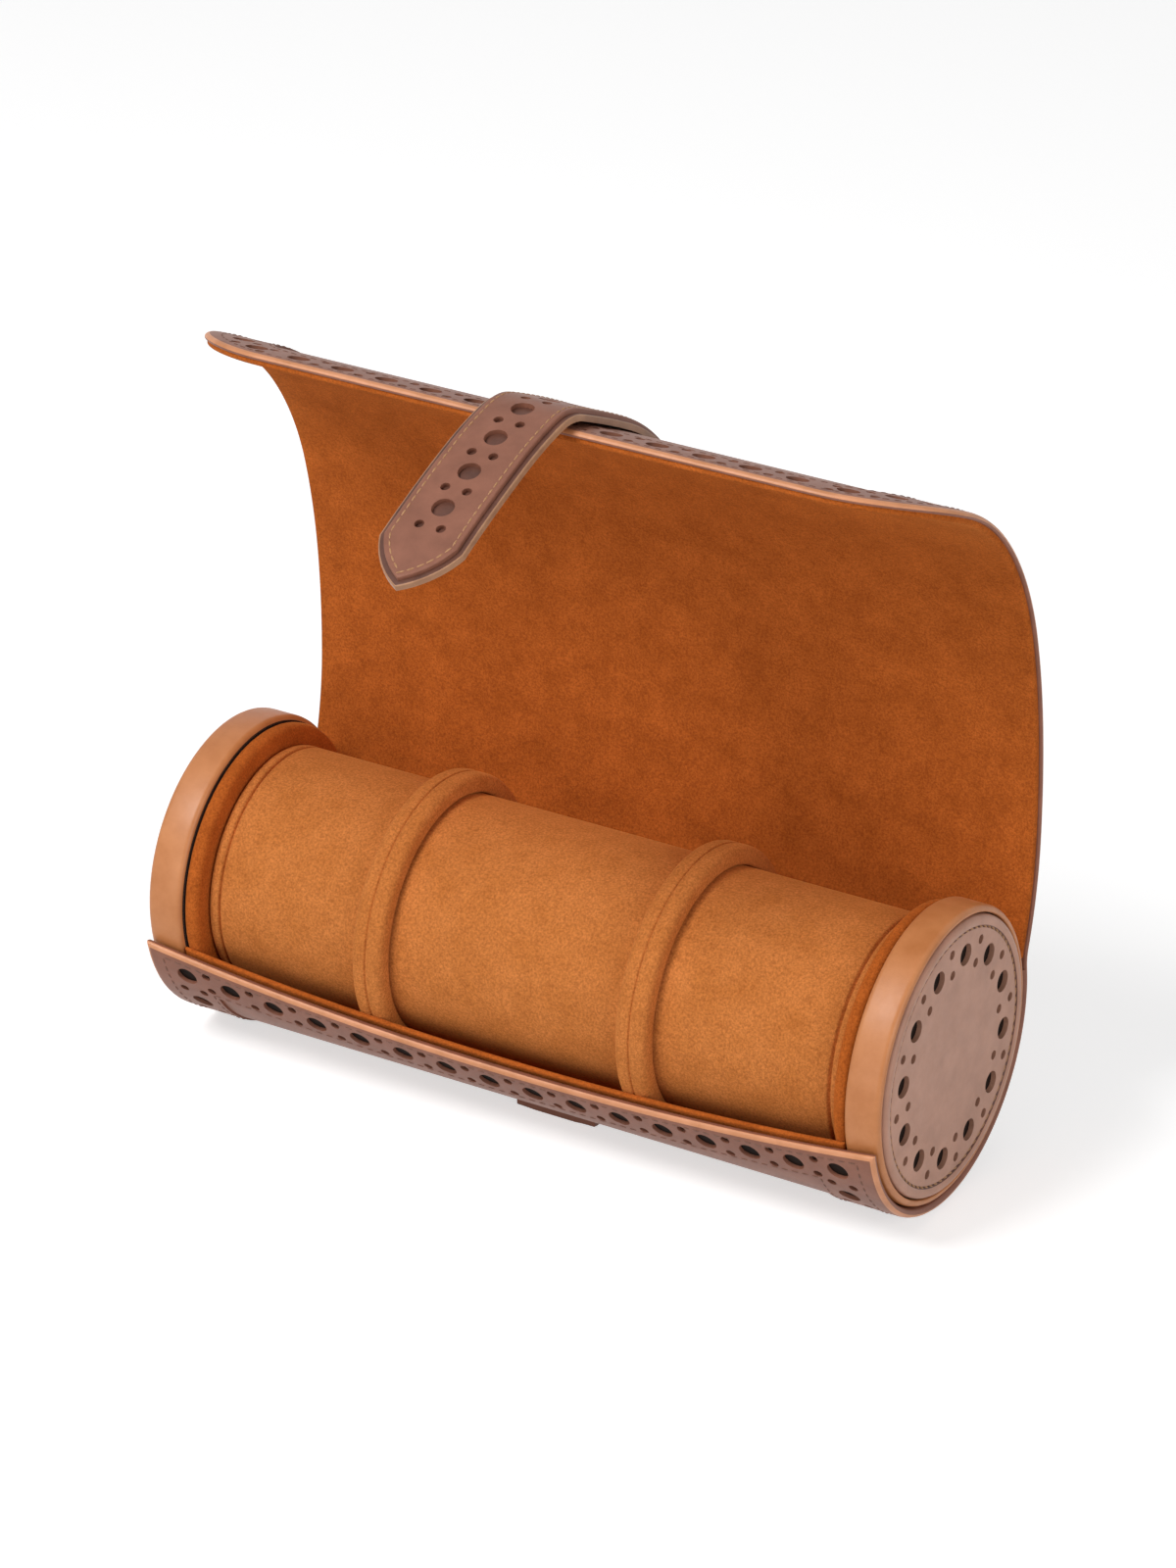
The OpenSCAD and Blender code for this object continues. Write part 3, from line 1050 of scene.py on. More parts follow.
def lathe(name: str, section: list[tuple[float, float, float]], finish: Finish,
          segments: int = 144, smooth: int = 4) -> bpy.types.Object:
    """Turns a closed section about the axis of the roll.

    Args:
        name: Name of the piece.
        section: Corners as x, radius and rounding, in mm.
        finish: Its finish.
        segments: Steps round the axis.
        smooth: Steps in each rounded corner.

    Returns:
        The object.
    """
    bm = bmesh.new()
    corners = [bm.verts.new((x, r, 0.0)) for x, r, _ in section]
    bm.faces.new(corners)
    rounding = {v: size for v, (_, _, size) in zip(corners, section)}
    for size in sorted({v for v in rounding.values() if v}):
        chosen = [v for v in corners if v.is_valid and rounding.get(v) == size]
        bmesh.ops.bevel(bm, geom=chosen, affect="VERTICES", offset=size,
                        offset_type="OFFSET", segments=smooth, profile=0.5, material=-1)
    bmesh.ops.delete(bm, geom=bm.faces[:], context="FACES_ONLY")
    bmesh.ops.spin(bm, geom=bm.verts[:] + bm.edges[:], axis=(1, 0, 0), cent=(0, 0, 0),
                   dvec=(0, 0, 0), angle=math.tau, steps=segments, use_merge=True)
    bmesh.ops.remove_doubles(bm, verts=bm.verts[:], dist=0.0005)
    to_row = Matrix.Scale(MM, 4) @ Matrix.Translation((0, 0, AXIS_Z))
    bmesh.ops.transform(bm, matrix=to_row, verts=bm.verts[:])
    return add_object(name, bm, finish)


# Sub-assemblies


@dataclass
class Wrap:
    """Trough and cover: one wrap of leather with a suede lining.

    Attributes:
        border: Thickness of the border.
        step_down: Depth of the middle panel below the border's face.
        cover_base: Depth of the cover's leather.
        trough_base: Depth of the trough's leather.
        suede: Depths of both faces of the trough's lining.
        side_w: Width of the border at the sides.
        end_w: Width of the border at both ends.
        side_row: Distance of the holes from the sides.
        end_row: Distance of the holes from both ends.
        corner: Radius of the cover's corners.
        lip_holes: Half the number of large holes along the front lip.
        edge_holes: Half the number of large holes along the free edge.
        turn_holes: Angles of the large holes in a corner.
        turn_pairs: Angles of the pairs in a corner.
        seam_side: Distance of the outer seam from the sides.
        seam_end: Distance of the outer seam from both ends.
        seam_in: Distance of the inner seam from the middle panel.
    """

    border: float = 1.1
    step_down: float = 0.55
    cover_base: float = 1.75
    trough_base: float = 2.5
    suede: tuple[float, float] = (4.6, 3.9)
    side_w: float = 19.0
    end_w: float = 13.0
    side_row: float = 11.5
    end_row: float = 7.0
    corner: float = 30.0
    lip_holes: int = 8
    edge_holes: int = 6
    turn_holes: tuple[int, ...] = (36, 72)
    turn_pairs: tuple[int, ...] = (18, 54, 84)
    seam_side: float = 5.0
    seam_end: float = 2.6
    seam_in: float = 1.2

    def __post_init__(self) -> None:
        """Works out the flat outlines and where its stretches start."""
        self.full = Outline(-WRAP_X, WRAP_X, 0.0, WRAP.length, self.corner, lip_rise)
        self.window = self.full.inset(self.side_w, self.end_w)
        self.side_x = WRAP_X - self.side_row
        self.straight = WRAP.length - self.corner
        middles = [middle_of(part) for part in range(1, PARTS + 1)]
        self.stops = [TROUGH_END, *middles, WRAP.length + 1]

    def holes(self) -> list[Hole]:
        """Spreads the holes of the border.

        Returns:
            Large holes and pairs of small ones.
        """
        lip = [((k + 0.5) * PITCH, self.end_row - lip_rise((k + 0.5) * PITCH))
               for k in range(-self.lip_holes, self.lip_holes)]
        rows = list(lip)
        left, right = lip[0][1], lip[-1][1]
        count = round((self.straight - left) / PITCH)
        for side in (-1, 1):
            rows += [(side * self.side_x, left + k * (self.straight - left) / count)
                     for k in range(1, count + 1)]
            rows += [self._corner(side, angle, 0.0) for angle in self.turn_holes]
        rows += [((k + 0.5) * PITCH, WRAP.length - self.end_row)
                 for k in range(-self.edge_holes, self.edge_holes)]
        return [Hole(x, s, BIG_R) for x, s in rows] + self._pairs(left, right)

    def _corner(self, side: int, angle: float, off: float) -> tuple[float, float]:
        """Finds a place on the row of holes in a corner.

        Args:
            side: Minus one at the left, one at the right.
            angle: Angle from the start of the corner in degrees.
            off: Distance outwards from the row.

        Returns:
            The place as x and s.
        """
        a = math.radians(angle)
        x = WRAP_X - self.corner + (self.corner - self.side_row + off) * math.cos(a)
        return side * x, self.straight + (self.corner - self.end_row + off) * math.sin(a)

    def _pairs(self, left: float, right: float) -> list[Hole]:
        """Spreads the pairs of small holes, midway between the large ones.

        Args:
            left: Where the large holes of the left side start.
            right: Where those of the right side start.

        Returns:
            The small holes.
        """
        spots = []
        halves = (-PAIR / 2, PAIR / 2)
        for k in range(1 - self.lip_holes, self.lip_holes):
            x = k * PITCH
            spots += [(x, self.end_row - lip_rise(x) + off) for off in halves]
        for k in range(1 - self.edge_holes, self.edge_holes):
            spots += [(k * PITCH, WRAP.length - self.end_row + off) for off in halves]
        count = round((self.straight - left) / PITCH)
        for side, start in ((-1, left), (1, right)):
            for k in range(count):
                s = start + (k + 0.5) * (self.straight - start) / count
                spots += [(side * self.side_x + off, s) for off in halves]
            for angle in self.turn_pairs:
                spots += [self._corner(side, angle, off) for off in halves]
        return [Hole(x, s, SMALL_R) for x, s in spots]

    def build(self) -> None:
        """Builds trough and cover."""
        border = Sheet(self.full, top=0.0, base=self.border, rim=1.05, holes=self.holes(),
                       window=self.window, roll=1.7)
        panel = Sheet(self.window.inset(-TUCK, -TUCK), top=self.step_down,
                      base=self.border + SINK, rim=0.2)
        behind = Sheet(self.full.inset(2, 2), top=self.border - SINK,
                       base=self.border + SINK / 2, rim=0.05)
        base = Sheet(self.full, top=self.cover_base, base=self.border, rim=0.6)
        thick = Sheet(self.full, top=self.trough_base, base=self.border, rim=1.3)
        suede = Outline(-WRAP_X + 0.9, WRAP_X - 0.9, TROUGH_END + 3, WRAP.length - 0.8,
                        self.corner - 0.8)
        lining = Sheet(suede, top=SKIN_T + SINK, base=self.cover_base, rim=0.9)
        border_flat, panel_flat, base_flat = border.flat(), panel.flat(), base.flat()
        lining_flat, behind_flat = lining.flat(), behind.flat()
        threads = self._threads()
        for index in range(-1, PARTS + 1):
            s0 = ALL_BELOW if index < 0 else self.stops[index]
            s1 = TROUGH_END if index < 0 else self.stops[index + 1]
            tag = "trough" if index < 0 else f"cover_{index}"
            rim = border.lay(border_flat, s0, s1, WRAP)
            mid = panel.lay(panel_flat, s0, s1, WRAP)
            if index < 0:
                body = thick.lay(thick.flat(), s0, s1, WRAP)
            else:
                body = base.lay(base_flat, s0, s1, WRAP)
            join(body, mid)
            leather = add_object(f"leather_{tag}", body, Finish.BROWN)
            # The rolled rim of the border gets a lighter finish as painted highlight
            edge = add_object(f"border_{tag}", rim, Finish.BROWN, second=Finish.FOLD_HIGHLIGHT)
            sewn = sew(t for t in threads if s0 <= t.s < s1)
            wrap(sewn, WRAP)
            thread = add_object(f"thread_{tag}", sewn, Finish.TONAL)
            dark = behind.lay(behind_flat, s0, s1, WRAP, step=3.0, wide=28.0)
            pieces = [leather, edge, thread, add_object(f"backing_{tag}", dark, Finish.DARK)]
            if index >= 0:
                # The lining takes the suede painted darker as shade
                skin = lining.lay(lining_flat, s0, s1, WRAP, least_r=RIM_R + TUCK)
                pieces.append(add_object(f"lining_{tag}", skin, Finish.LINING))
            self._hang(index, pieces, s0, s1)
        self._trough_lining()

    def _threads(self, steps: int = 40) -> list[Stitch]:
        """Sews the border near its outer edge and near its inner edge.

        Args:
            steps: Steps of each seam along the lip.

        Returns:
            The stitches.
        """
        far = self.full
        outer = Outline(far.x0 + self.seam_side, far.x1 - self.seam_side, self.seam_end,
                        far.s1 - self.seam_end, self.corner - 3.5)
        inner = Outline(far.x0 + self.side_w - self.seam_in, far.x1 - self.side_w + self.seam_in,
                        self.end_w - self.seam_in, far.s1 - self.end_w + self.seam_in,
                        self.corner - self.end_w + self.seam_in)
        stitches = []
        for line in (outer, inner):
            start = line.s0 - lip_rise(line.x0)
            stitches += seam(rounded_path(line, start))
            xs = [line.x0 + (line.x1 - line.x0) * k / steps for k in range(steps + 1)]
            stitches += seam([(x, line.s0 - lip_rise(x)) for x in xs])
        return stitches

    def _hang(self, index: int, pieces: list[bpy.types.Object], s0: float, s1: float) -> None:
        """Fastens the trough's pieces to the case and those of the last stretch to cover_6; the
        pieces of the other stretches are only baked in place.

        Args:
            index: Number of the stretch, below zero for the trough.
            pieces: Leather, border, thread, backing and, on the cover, lining.
            s0: Where the stretch starts.
            s1: Where the stretch ends.
        """
        slots = ["brown_leather", "perforated_leather", "brown_leather", "dark_leather", "suede"]
        for piece, name in zip(pieces, slots):
            if index < 0:
                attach(piece, "case")
            elif index == PARTS:
                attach(piece, "cover_6")
            else:
                WRAP.point(0, s0, SKIN_MID)
                WRAP.point(0, s1, SKIN_MID)
                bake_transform(piece)
        if index < 0:
            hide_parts("trough_shell")
            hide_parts("trough_border")
        elif index > 0:
            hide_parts(f"cover_leather_{index}")
            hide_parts(f"cover_border_{index}")
            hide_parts(f"cover_lining_{index}")

    def _trough_lining(self, end_angle: float = 13.0) -> None:
        """Lines the trough between the two rims.

        Args:
            end_angle: Angle about the axis where the lining ends.
        """
        end = TROUGH_END + 4.0
        near, far = self.suede
        outline = Outline(-CAP_X + TUCK, CAP_X - TUCK, -TUCK, end, 0.0, lip_rise)
        inner = Sheet(outline, top=near, base=far, rim=0.68)
        outer = Sheet(outline, top=self.trough_base + 0.7, base=far, rim=0.68)
        ring = Profile([Arc((0.0, 0.0), OUTER_R, LIP_MID, 360 + end_angle - LIP_MID)])
        body = inner.lay(inner.flat(), ALL_BELOW, end, ring)
        join(body, outer.lay(outer.flat(), ALL_BELOW, end, ring))
        lining = add_object("lining_trough", body, Finish.LINING)
        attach(lining, "case")
        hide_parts("trough_lining")


def join(target: bmesh.types.BMesh, other: bmesh.types.BMesh) -> None:
    """Adds a second mesh to a first one and frees it.

    Args:
        target: The mesh that is kept.
        other: The mesh that is added.
    """
    mesh = bpy.data.meshes.new("joined")
    other.to_mesh(mesh)
    other.free()
    target.from_mesh(mesh)
    bpy.data.meshes.remove(mesh)


@dataclass
class Strap:
    """The closing strap, sewn on the cover and hanging past its free edge.

    Attributes:
        half_w: Half its width.
        face_in: How far the upper ply lies in from the edge.
        core_in: How far the middle ply lies in from the edge.
        ply: Thickness of the upper ply.
        thick: Thickness of the whole strap.
        root_part: Part of the cover that its end is sewn on.
        root: Where on that part the end lies, from 0 to 1.
        free: Length and turn of each arc past that part.
        lift_hinge: Distance of the lift hinge from the end of that part.
        tab_len: Length of each part of the tab.
        tip: Length of the point.
        tip_bow: How far each side of the point bulges.
        tip_holes: Distance of the last pair of holes from the point's start.
        seam_in: Distance of the seam from the edge of the upper ply.
        seam_start: Distance of the seam from the sewn end.
        stitch: Spacing of its stitches.
    """

    half_w: float = 12.0
    face_in: float = 1.7
    core_in: float = 0.4
    ply: float = 1.3
    thick: float = 3.0
    root_part: int = 5
    root: float = 0.25
    free: tuple[tuple[float, float], ...] = (
        (25.8, 4.2), (11.6, 33.8), (17.4, 9.2), (23.3, 4.0), (23.4, 5.0))
    lift_hinge: float = 16.5
    tab_len: float = 23.3
    tip: float = 14.0
    tip_bow: float = 1.8
    tip_holes: float = 5.0
    seam_in: float = 1.5
    seam_start: float = 3.0
    stitch: float = 2.6

    def __post_init__(self) -> None:
        """Works out the line of the strap's upper face and where its stretches start."""
        arc = WRAP.arcs[self.root_part + 1]
        lift = arc.radius + self.thick
        angle = arc.start + self.root * arc.sweep
        place = (arc.centre[0] + lift * math.cos(math.radians(angle)),
                 arc.centre[1] + lift * math.sin(math.radians(angle)))
        rest = arc.sweep * (1 - self.root)
        self.line = Profile.chain(place, angle + 90,
                                  [(lift * math.radians(rest), rest), *self.free])
        first, second, third = (a.length for a in self.line.arcs[:3])
        half_5 = (0.5 - self.root) / (1 - self.root) * first
        kink = first + second + third / 2
        self.stops = [
            (0.0, "cover_4", "cover_5"),
            (half_5, "cover_5", "cover_6"),
            (first + self.lift_hinge, "cover_6", "strap_1"),
            (kink + 0.5 * self.tab_len, "strap_1", "strap_2"),
            (kink + 1.5 * self.tab_len, "strap_2", "strap_3"),
            (kink + 2.5 * self.tab_len, "strap_3", ""),
        ]

    def build(self) -> None:
        """Builds the plies and their thread."""
        face = Sheet(self._outline(self.face_in, 1.0), top=0.0, base=self.ply, rim=0.45,
                     holes=self._holes())
        back = Sheet(self._outline(0.0, 0.0), top=self.ply, base=self.thick, rim=0.4)
        # The middle ply shows dark at the margin and at the bottom of the holes, where its colour is
        # painted shade
        core = Sheet(self._outline(self.core_in, self.core_in), top=self.ply - SINK / 2,
                     base=self.ply + SINK, rim=0.1)
        plies = [(face, self._pointed(face), "ply", Finish.BROWN),
                 (back, self._pointed(back), "base", Finish.EDGE),
                 (core, self._pointed(core), "core", Finish.BURNISHED_AND_SHADE)]
        slots = ("perforated_leather", "tan_leather", "dark_leather", "perforated_leather")
        threads = self._threads()
        replaced = {0: ("strap_root",), 1: ("strap_bridge",), 2: ("strap_face_1", "strap_back_1"),
                    3: ("strap_face_2", "strap_back_2"), 4: ("strap_face_3", "strap_back_3")}
        ends = [s for s, _, _ in self.stops[1:]] + [self.line.length + 1]
        for index, ((s0, lower, upper), s1) in enumerate(zip(self.stops, ends)):
            pieces = []
            for sheet, flat, word, finish in plies:
                laid = sheet.lay(flat, s0, s1, self.line, step=1.2, wide=6.0)
                pieces.append(add_object(f"strap_{word}_{index + 1}", laid, finish))
            sewn = sew(t for t in threads if s0 <= t.s < s1)
            wrap(sewn, self.line)
            pieces.append(add_object(f"strap_thread_{index + 1}", sewn, Finish.THREAD))
            for piece, name in zip(pieces, slots):
                if not upper:
                    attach(piece, lower)
                    continue
                a, b = self._blend_ends(index)
                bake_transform(piece)
            if index in replaced:
                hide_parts(*replaced[index])

    def _blend_ends(self, index: int) -> tuple[Vector, Vector]:
        """Finds where the bend of a stretch starts and ends.

        Args:
            index: Number of the stretch, where the first two lie on the cover.

        Returns:
            Both places.
        """
        if index < 2:
            return (WRAP.point(0, middle_of(self.root_part - 1 + index), SKIN_MID),
                    WRAP.point(0, middle_of(self.root_part + index), SKIN_MID))
        return (self.line.point(0, self.stops[index][0], self.thick / 2),
                self.line.point(0, self.stops[index + 1][0], self.thick / 2))

    def _outline(self, inset: float, start: float) -> Outline:
        """Draws a ply before its tip is pointed.

        Args:
            inset: How far it is drawn in from the edge.
            start: Where it starts.

        Returns:
            Its outline.
        """
        half = self.half_w - inset
        return Outline(-half, half, start, self.line.length - self._point_in(inset))

    def _point_in(self, inset: float) -> float:
        """Works out how far a point moves back when both its sides are drawn in.

        Args:
            inset: How far they are drawn in.

        Returns:
            The distance.
        """
        arc_r, hub = self._tip_arc
        return math.sqrt(arc_r ** 2 - hub ** 2) - math.sqrt((arc_r - inset) ** 2 - hub ** 2)

    @property
    def _tip_arc(self) -> tuple[float, float]:
        """Works out the arcs that form both sides of the point.

        Returns:
            Their radius, and how far their centres lie past the middle.
        """
        chord = math.hypot(self.tip, self.half_w)
        arc_r = (chord ** 2 / 4 + self.tip_bow ** 2) / (2 * self.tip_bow)
        return arc_r, self.tip * (arc_r - self.tip_bow) / chord - self.half_w / 2

    def _pointed(self, sheet: Sheet, lines: int = 32) -> bmesh.types.BMesh:
        """Draws a flat ply with its end drawn to a point.

        Args:
            sheet: The ply.
            lines: Steps across it, closer together near the edges.

        Returns:
            The flat mesh.
        """
        bm = sheet.flat()
        half = sheet.outline.x1
        start = self.line.length - self.tip - 1
        score(bm, (0, start, 0), (0, 1, 0))
        for k in range(1, lines):
            score(bm, (half * math.cos(math.pi * k / lines), 0, 0), (1, 0, 0))
        for v in bm.verts:
            near = (v.co.y - start) / (sheet.outline.s1 - start)
            if near > 0:
                v.co.y -= near * self._drop(v.co.x, self.half_w - half)
        return bm

    def _drop(self, x: float, inset: float) -> float:
        """Works out how far a side of the point lies behind the point.

        Args:
            x: Place across the strap.
            inset: How far the side is drawn in.

        Returns:
            The distance along the strap.
        """
        arc_r, hub = self._tip_arc
        reach = arc_r - inset
        top = math.sqrt(reach ** 2 - hub ** 2)
        return top - math.sqrt(max(reach ** 2 - (hub + abs(x)) ** 2, 0))

    def _holes(self) -> list[Hole]:
        """Spreads pairs and large holes, from the pair next to the tip up to the cover.

        Returns:
            The holes.
        """
        end = self.line.length - self.tip - self.tip_holes
        holes = []
        for k in range(int((end - self.line.starts[1] / 2) / PITCH)):
            s = end - k * PITCH
            holes += [Hole(x, s, SMALL_R) for x in (-PAIR / 2, PAIR / 2)]
            holes.append(Hole(0.0, s - PITCH / 2, BIG_R))
        return holes

    def _threads(self, steps: int = 16) -> list[Stitch]:
        """Sews one seam round the edge of the upper ply.

        Args:
            steps: Steps of the seam round the tip.

        Returns:
            The stitches.
        """
        inset = self.face_in + self.seam_in
        half = self.half_w - inset
        end = self.line.length - self._point_in(inset)
        xs = [half * math.cos(math.pi * (1 - k / steps)) for k in range(steps + 1)]
        tip = [(x, end - self._drop(x, inset)) for x in xs]
        left, right = (-half, self.seam_start), (half, self.seam_start)
        return seam([left, *tip, right], self.stitch) + seam([left, right], self.stitch)


# Rings of an end disc as radius and height, from its rim over the bead to the flat middle
DISC_RINGS = ((37.7, -1.2), (37.6, -0.5), (37.3, 0.05), (36.9, 0.35), (36.2, 0.48), (35.5, 0.4),
              (34.95, 0.2), (34.55, -0.35), (34.2, -0.05), (33.6, 0.0))
# The rings of its seam groove, which take the darker finish as painted shade, and the height of its
# back
SEAM_GROOVE_SHADE = (6, 7)
DISC_BACK = -1.4


@dataclass
class EndCap:
    """A rim band with its perforated disc and its padded guard ring.

    Attributes:
        side: End of the roll.
        band_r: Inner radius of the rim band.
        backing_r: Radius of the leather behind the disc.
        backing_x: Both faces of that leather.
        guard_x: Both faces of the guard ring.
        holes: Number of large holes.
        holes_r: Radius of their ring.
        first: Angle of the first of them.
        stitches: Number of stitches of the disc's seam.
        seam_r: Radius of the seam.
        slant: Angle of a stitch to the radius.
    """

    side: Side
    band_r: float = 38.1
    backing_r: float = 37.9
    backing_x: tuple[float, float] = (108.8, 109.58)
    guard_x: tuple[float, float] = (96.1, 100.3)
    holes: int = 12
    holes_r: float = 28.0
    first: float = -10.0
    stitches: int = 80
    seam_r: float = 34.5
    slant: float = 75.0

    def build(self) -> None:
        """Builds the pieces of the cap."""
        self._band()
        self._disc()
        self._thread()
        self._backing()
        self._guard()

    def _turned(self, section: Iterable[tuple[float, float, float]]) -> list[tuple[float, ...]]:
        """Puts a section on this end of the roll.

        Args:
            section: Corners as distance from the middle, radius and rounding.

        Returns:
            Corners as x, radius and rounding.
        """
        return [(self.side.value * x, r, size) for x, r, size in section]

    def _keep(self, obj: bpy.types.Object, node: str) -> None:
        """Fastens a piece to the case in place of its CAD node.

        Args:
            obj: The piece.
            node: The CAD node that it stands for.
        """
        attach(obj, "case")
        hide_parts(node)

    def _band(self) -> None:
        """Builds the tan band round the cap, rounded at both edges."""
        word = self.side.word
        section = self._turned(((CAP_X, self.band_r, 0.0), (CAP_X, RIM_R, 1.5),
                                (RIM_OUT_X, RIM_R, 1.65), (RIM_OUT_X, self.band_r, 0.5)))
        self._keep(lathe(f"rim_{word}", section, Finish.TAN), f"rim_band_{word}")

    def _disc(self) -> None:
        """Builds the perforated disc, with a raised bead and a seam groove."""
        bm = bmesh.new()
        made = bmesh.ops.create_circle(bm, cap_ends=True, radius=DISC_RINGS[0][0], segments=144)
        face = made["verts"][0].link_faces[0]
        for k, (radius, height) in enumerate(DISC_RINGS):
            for v in face.verts:
                v.co.z = height
            if k + 1 < len(DISC_RINGS):
                made = bmesh.ops.inset_region(bm, faces=[face], use_boundary=True,
                                              thickness=radius - DISC_RINGS[k + 1][0],
                                              use_even_offset=True)
                for ring in made["faces"]:
                    # Rings of the seam groove get the darker finish as painted shade
                    ring.material_index = 1 if k in SEAM_GROOVE_SHADE else 0
        refill(bm, face, self._holes(), -DISC_RINGS[-1][1])
        made = bmesh.ops.extrude_face_region(bm, geom=bm.faces[:])
        for item in made["geom"]:
            if isinstance(item, bmesh.types.BMVert):
                item.co.z = DISC_BACK
        self._place(bm)
        word = self.side.word
        # The disc's paler finish is painted sheen of the end face
        disc = add_object(f"disc_{word}", bm, Finish.SHEEN_LIT, 60, Finish.BURNISHED_AND_SHADE)
        self._keep(disc, f"end_disc_{word}")

    def _thread(self) -> None:
        """Sews the disc in its groove."""
        stitches = []
        for k in range(self.stitches):
            angle = 360 / self.stitches * k
            a = math.radians(angle)
            stitches.append(Stitch(self.seam_r * math.cos(a), self.seam_r * math.sin(a),
                                   angle + self.slant))
        bm = sew(stitches, 0.12)
        self._place(bm)
        thread = add_object(f"disc_thread_{self.side.word}", bm, Finish.THREAD)
        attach(thread, "case")

    def _backing(self) -> None:
        """Builds the dark leather behind the disc."""
        word = self.side.word
        near, far = self.backing_x
        section = self._turned(((near, MIDDLE_R, 0.0), (far, MIDDLE_R, 0.0),
                                (far, self.backing_r, 0.0), (near, self.backing_r, 0.0)))
        self._keep(lathe(f"backing_{word}", section, Finish.DARK, 96), f"disc_backing_{word}")

    def _place(self, bm: bmesh.types.BMesh) -> None:
        """Stands a flat mesh on the end of the roll.

        Args:
            bm: The mesh.
        """
        turn = Matrix.Rotation(math.radians(90 * self.side.value), 4, "Y")
        out = Matrix.Translation((self.side.value * DISC_X, 0, AXIS_Z))
        bmesh.ops.transform(bm, matrix=Matrix.Scale(MM, 4) @ out @ turn, verts=bm.verts[:])

    def _holes(self) -> list[Hole]:
        """Spreads large holes in a ring, with pairs between them.

        Returns:
            The holes.
        """
        holes = []
        step = 360 / self.holes
        for k in range(self.holes):
            a = math.radians(step * k + self.first * self.side.value)
            holes.append(Hole(self.holes_r * math.cos(a), self.holes_r * math.sin(a), BIG_R))
            a += math.radians(step / 2)
            for r in (self.holes_r - PAIR / 2, self.holes_r + PAIR / 2):
                holes.append(Hole(r * math.cos(a), r * math.sin(a), SMALL_R))
        return holes

    def _guard(self) -> None:
        """Builds the padded suede ring on the inside of the cap."""
        word = self.side.word
        near, far = self.guard_x
        section = self._turned(((near, TUBE_R, 0.0), (near, CREST_R, 1.9),
                                (far, CREST_R + 0.05, 1.5), (far, TUBE_R, 0.0)))
        ring = lathe(f"guard_{word}", section, Finish.LINING)
        self._keep(ring, f"guard_ring_{word}")


@dataclass
class InnerRoll:
    """The padded cylinder that watches are strapped round.

    Attributes:
        end: Half its length.
        seam_x: Distance of both seams from the middle.
        seam_h: Depth of the seams.
        seam_w: Width of the groove on each side of a seam.
        bead_w: Width of the bead past a seam.
        bead_h: Height of that bead over the cylinder.
    """

    end: float = 96.0
    seam_x: float = 92.6
    seam_h: float = 1.1
    seam_w: float = 0.7
    bead_w: float = 0.5
    bead_h: float = 0.1

    def build(self) -> None:
        """Builds the padded cylinder, with a bead and a seam at each end."""
        seam_x = self.seam_x
        right = [(seam_x - self.seam_w, CUSHION_R, 0.4), (seam_x, CUSHION_R - self.seam_h, 0.2),
                 (seam_x + self.bead_w, CUSHION_R + self.bead_h, 0.5),
                 (self.end, CUSHION_R, 1.5), (self.end, TUBE_R, 0.0)]
        left = [(-x, r, size) for x, r, size in reversed(right)]
        roll = lathe("padded_cylinder", left + right, Finish.PADDING, 160)
        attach(roll, "case")
        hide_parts("cushion")


@dataclass
class Divider:
    """A ring that slides along the padded cylinder.

    Attributes:
        side: Which of the two.
        x: Place of its middle.
        half_w: Half its width.
        inner: Its inner radius.
        seam_h: Depth of the seam along its crest.
        seam_w: Half the width of that seam.
    """

    side: Side
    x: float
    half_w: float = 4.75
    inner: float = CUSHION_R + 0.3
    seam_h: float = 0.55
    seam_w: float = 0.4

    def build(self) -> None:
        """Builds the ring, with a seam along its crest."""
        word = self.side.word
        half = [(self.half_w, self.inner, 0.8), (self.half_w, CREST_R, 2.4),
                (self.seam_w, CREST_R, 0.25)]
        section = [(self.x - x, r, size) for x, r, size in half]
        section.append((self.x, CREST_R - self.seam_h, 0.15))
        section += [(self.x + x, r, size) for x, r, size in reversed(half)]
        ring = lathe(f"divider_ring_{word}", section, Finish.PADDING)
        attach(ring, f"divider_{word}")
        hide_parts(f"divider_sleeve_{word}")


@dataclass
class ClosurePad:
    """The leather pad under the trough, which hides the second magnet.

    Attributes:
        half_w: Half its width along the roll.
        half_l: Half its length.
        y: Place of its middle.
        seat_r: Radius of its hollow upper face about the axis.
        edge: Size of its rounded lower edges.
    """

    half_w: float = 12.0
    half_l: float = 16.5
    y: float = 3.5
    seat_r: float = 42.4
    edge: float = 0.5

    def build(self) -> None:
        """Builds the pad, flat below and hollow above to fit the trough."""
        bm = bmesh.new()
        bmesh.ops.create_grid(bm, x_segments=4, y_segments=24, size=1.0)
        for v in bm.verts:
            v.co.x *= self.half_w
            v.co.y = self.y + v.co.y * self.half_l
        made = bmesh.ops.extrude_face_region(bm, geom=bm.faces[:])
        for item in made["geom"]:
            if isinstance(item, bmesh.types.BMVert):
                item.co.z = AXIS_Z - math.sqrt(self.seat_r ** 2 - item.co.y ** 2)
        low = [e for e in bm.edges if max(v.co.z for v in e.verts) < NEAR
               and len({f.normal.z < -0.5 for f in e.link_faces}) == 2]
        bmesh.ops.bevel(bm, geom=low, affect="EDGES", offset=self.edge, segments=3, profile=0.5,
                        material=-1)
        bmesh.ops.transform(bm, matrix=Matrix.Scale(MM, 4), verts=bm.verts[:])
        pad = add_object("pad", bm, Finish.BROWN)
        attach(pad, "case")
        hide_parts("closure_pad")


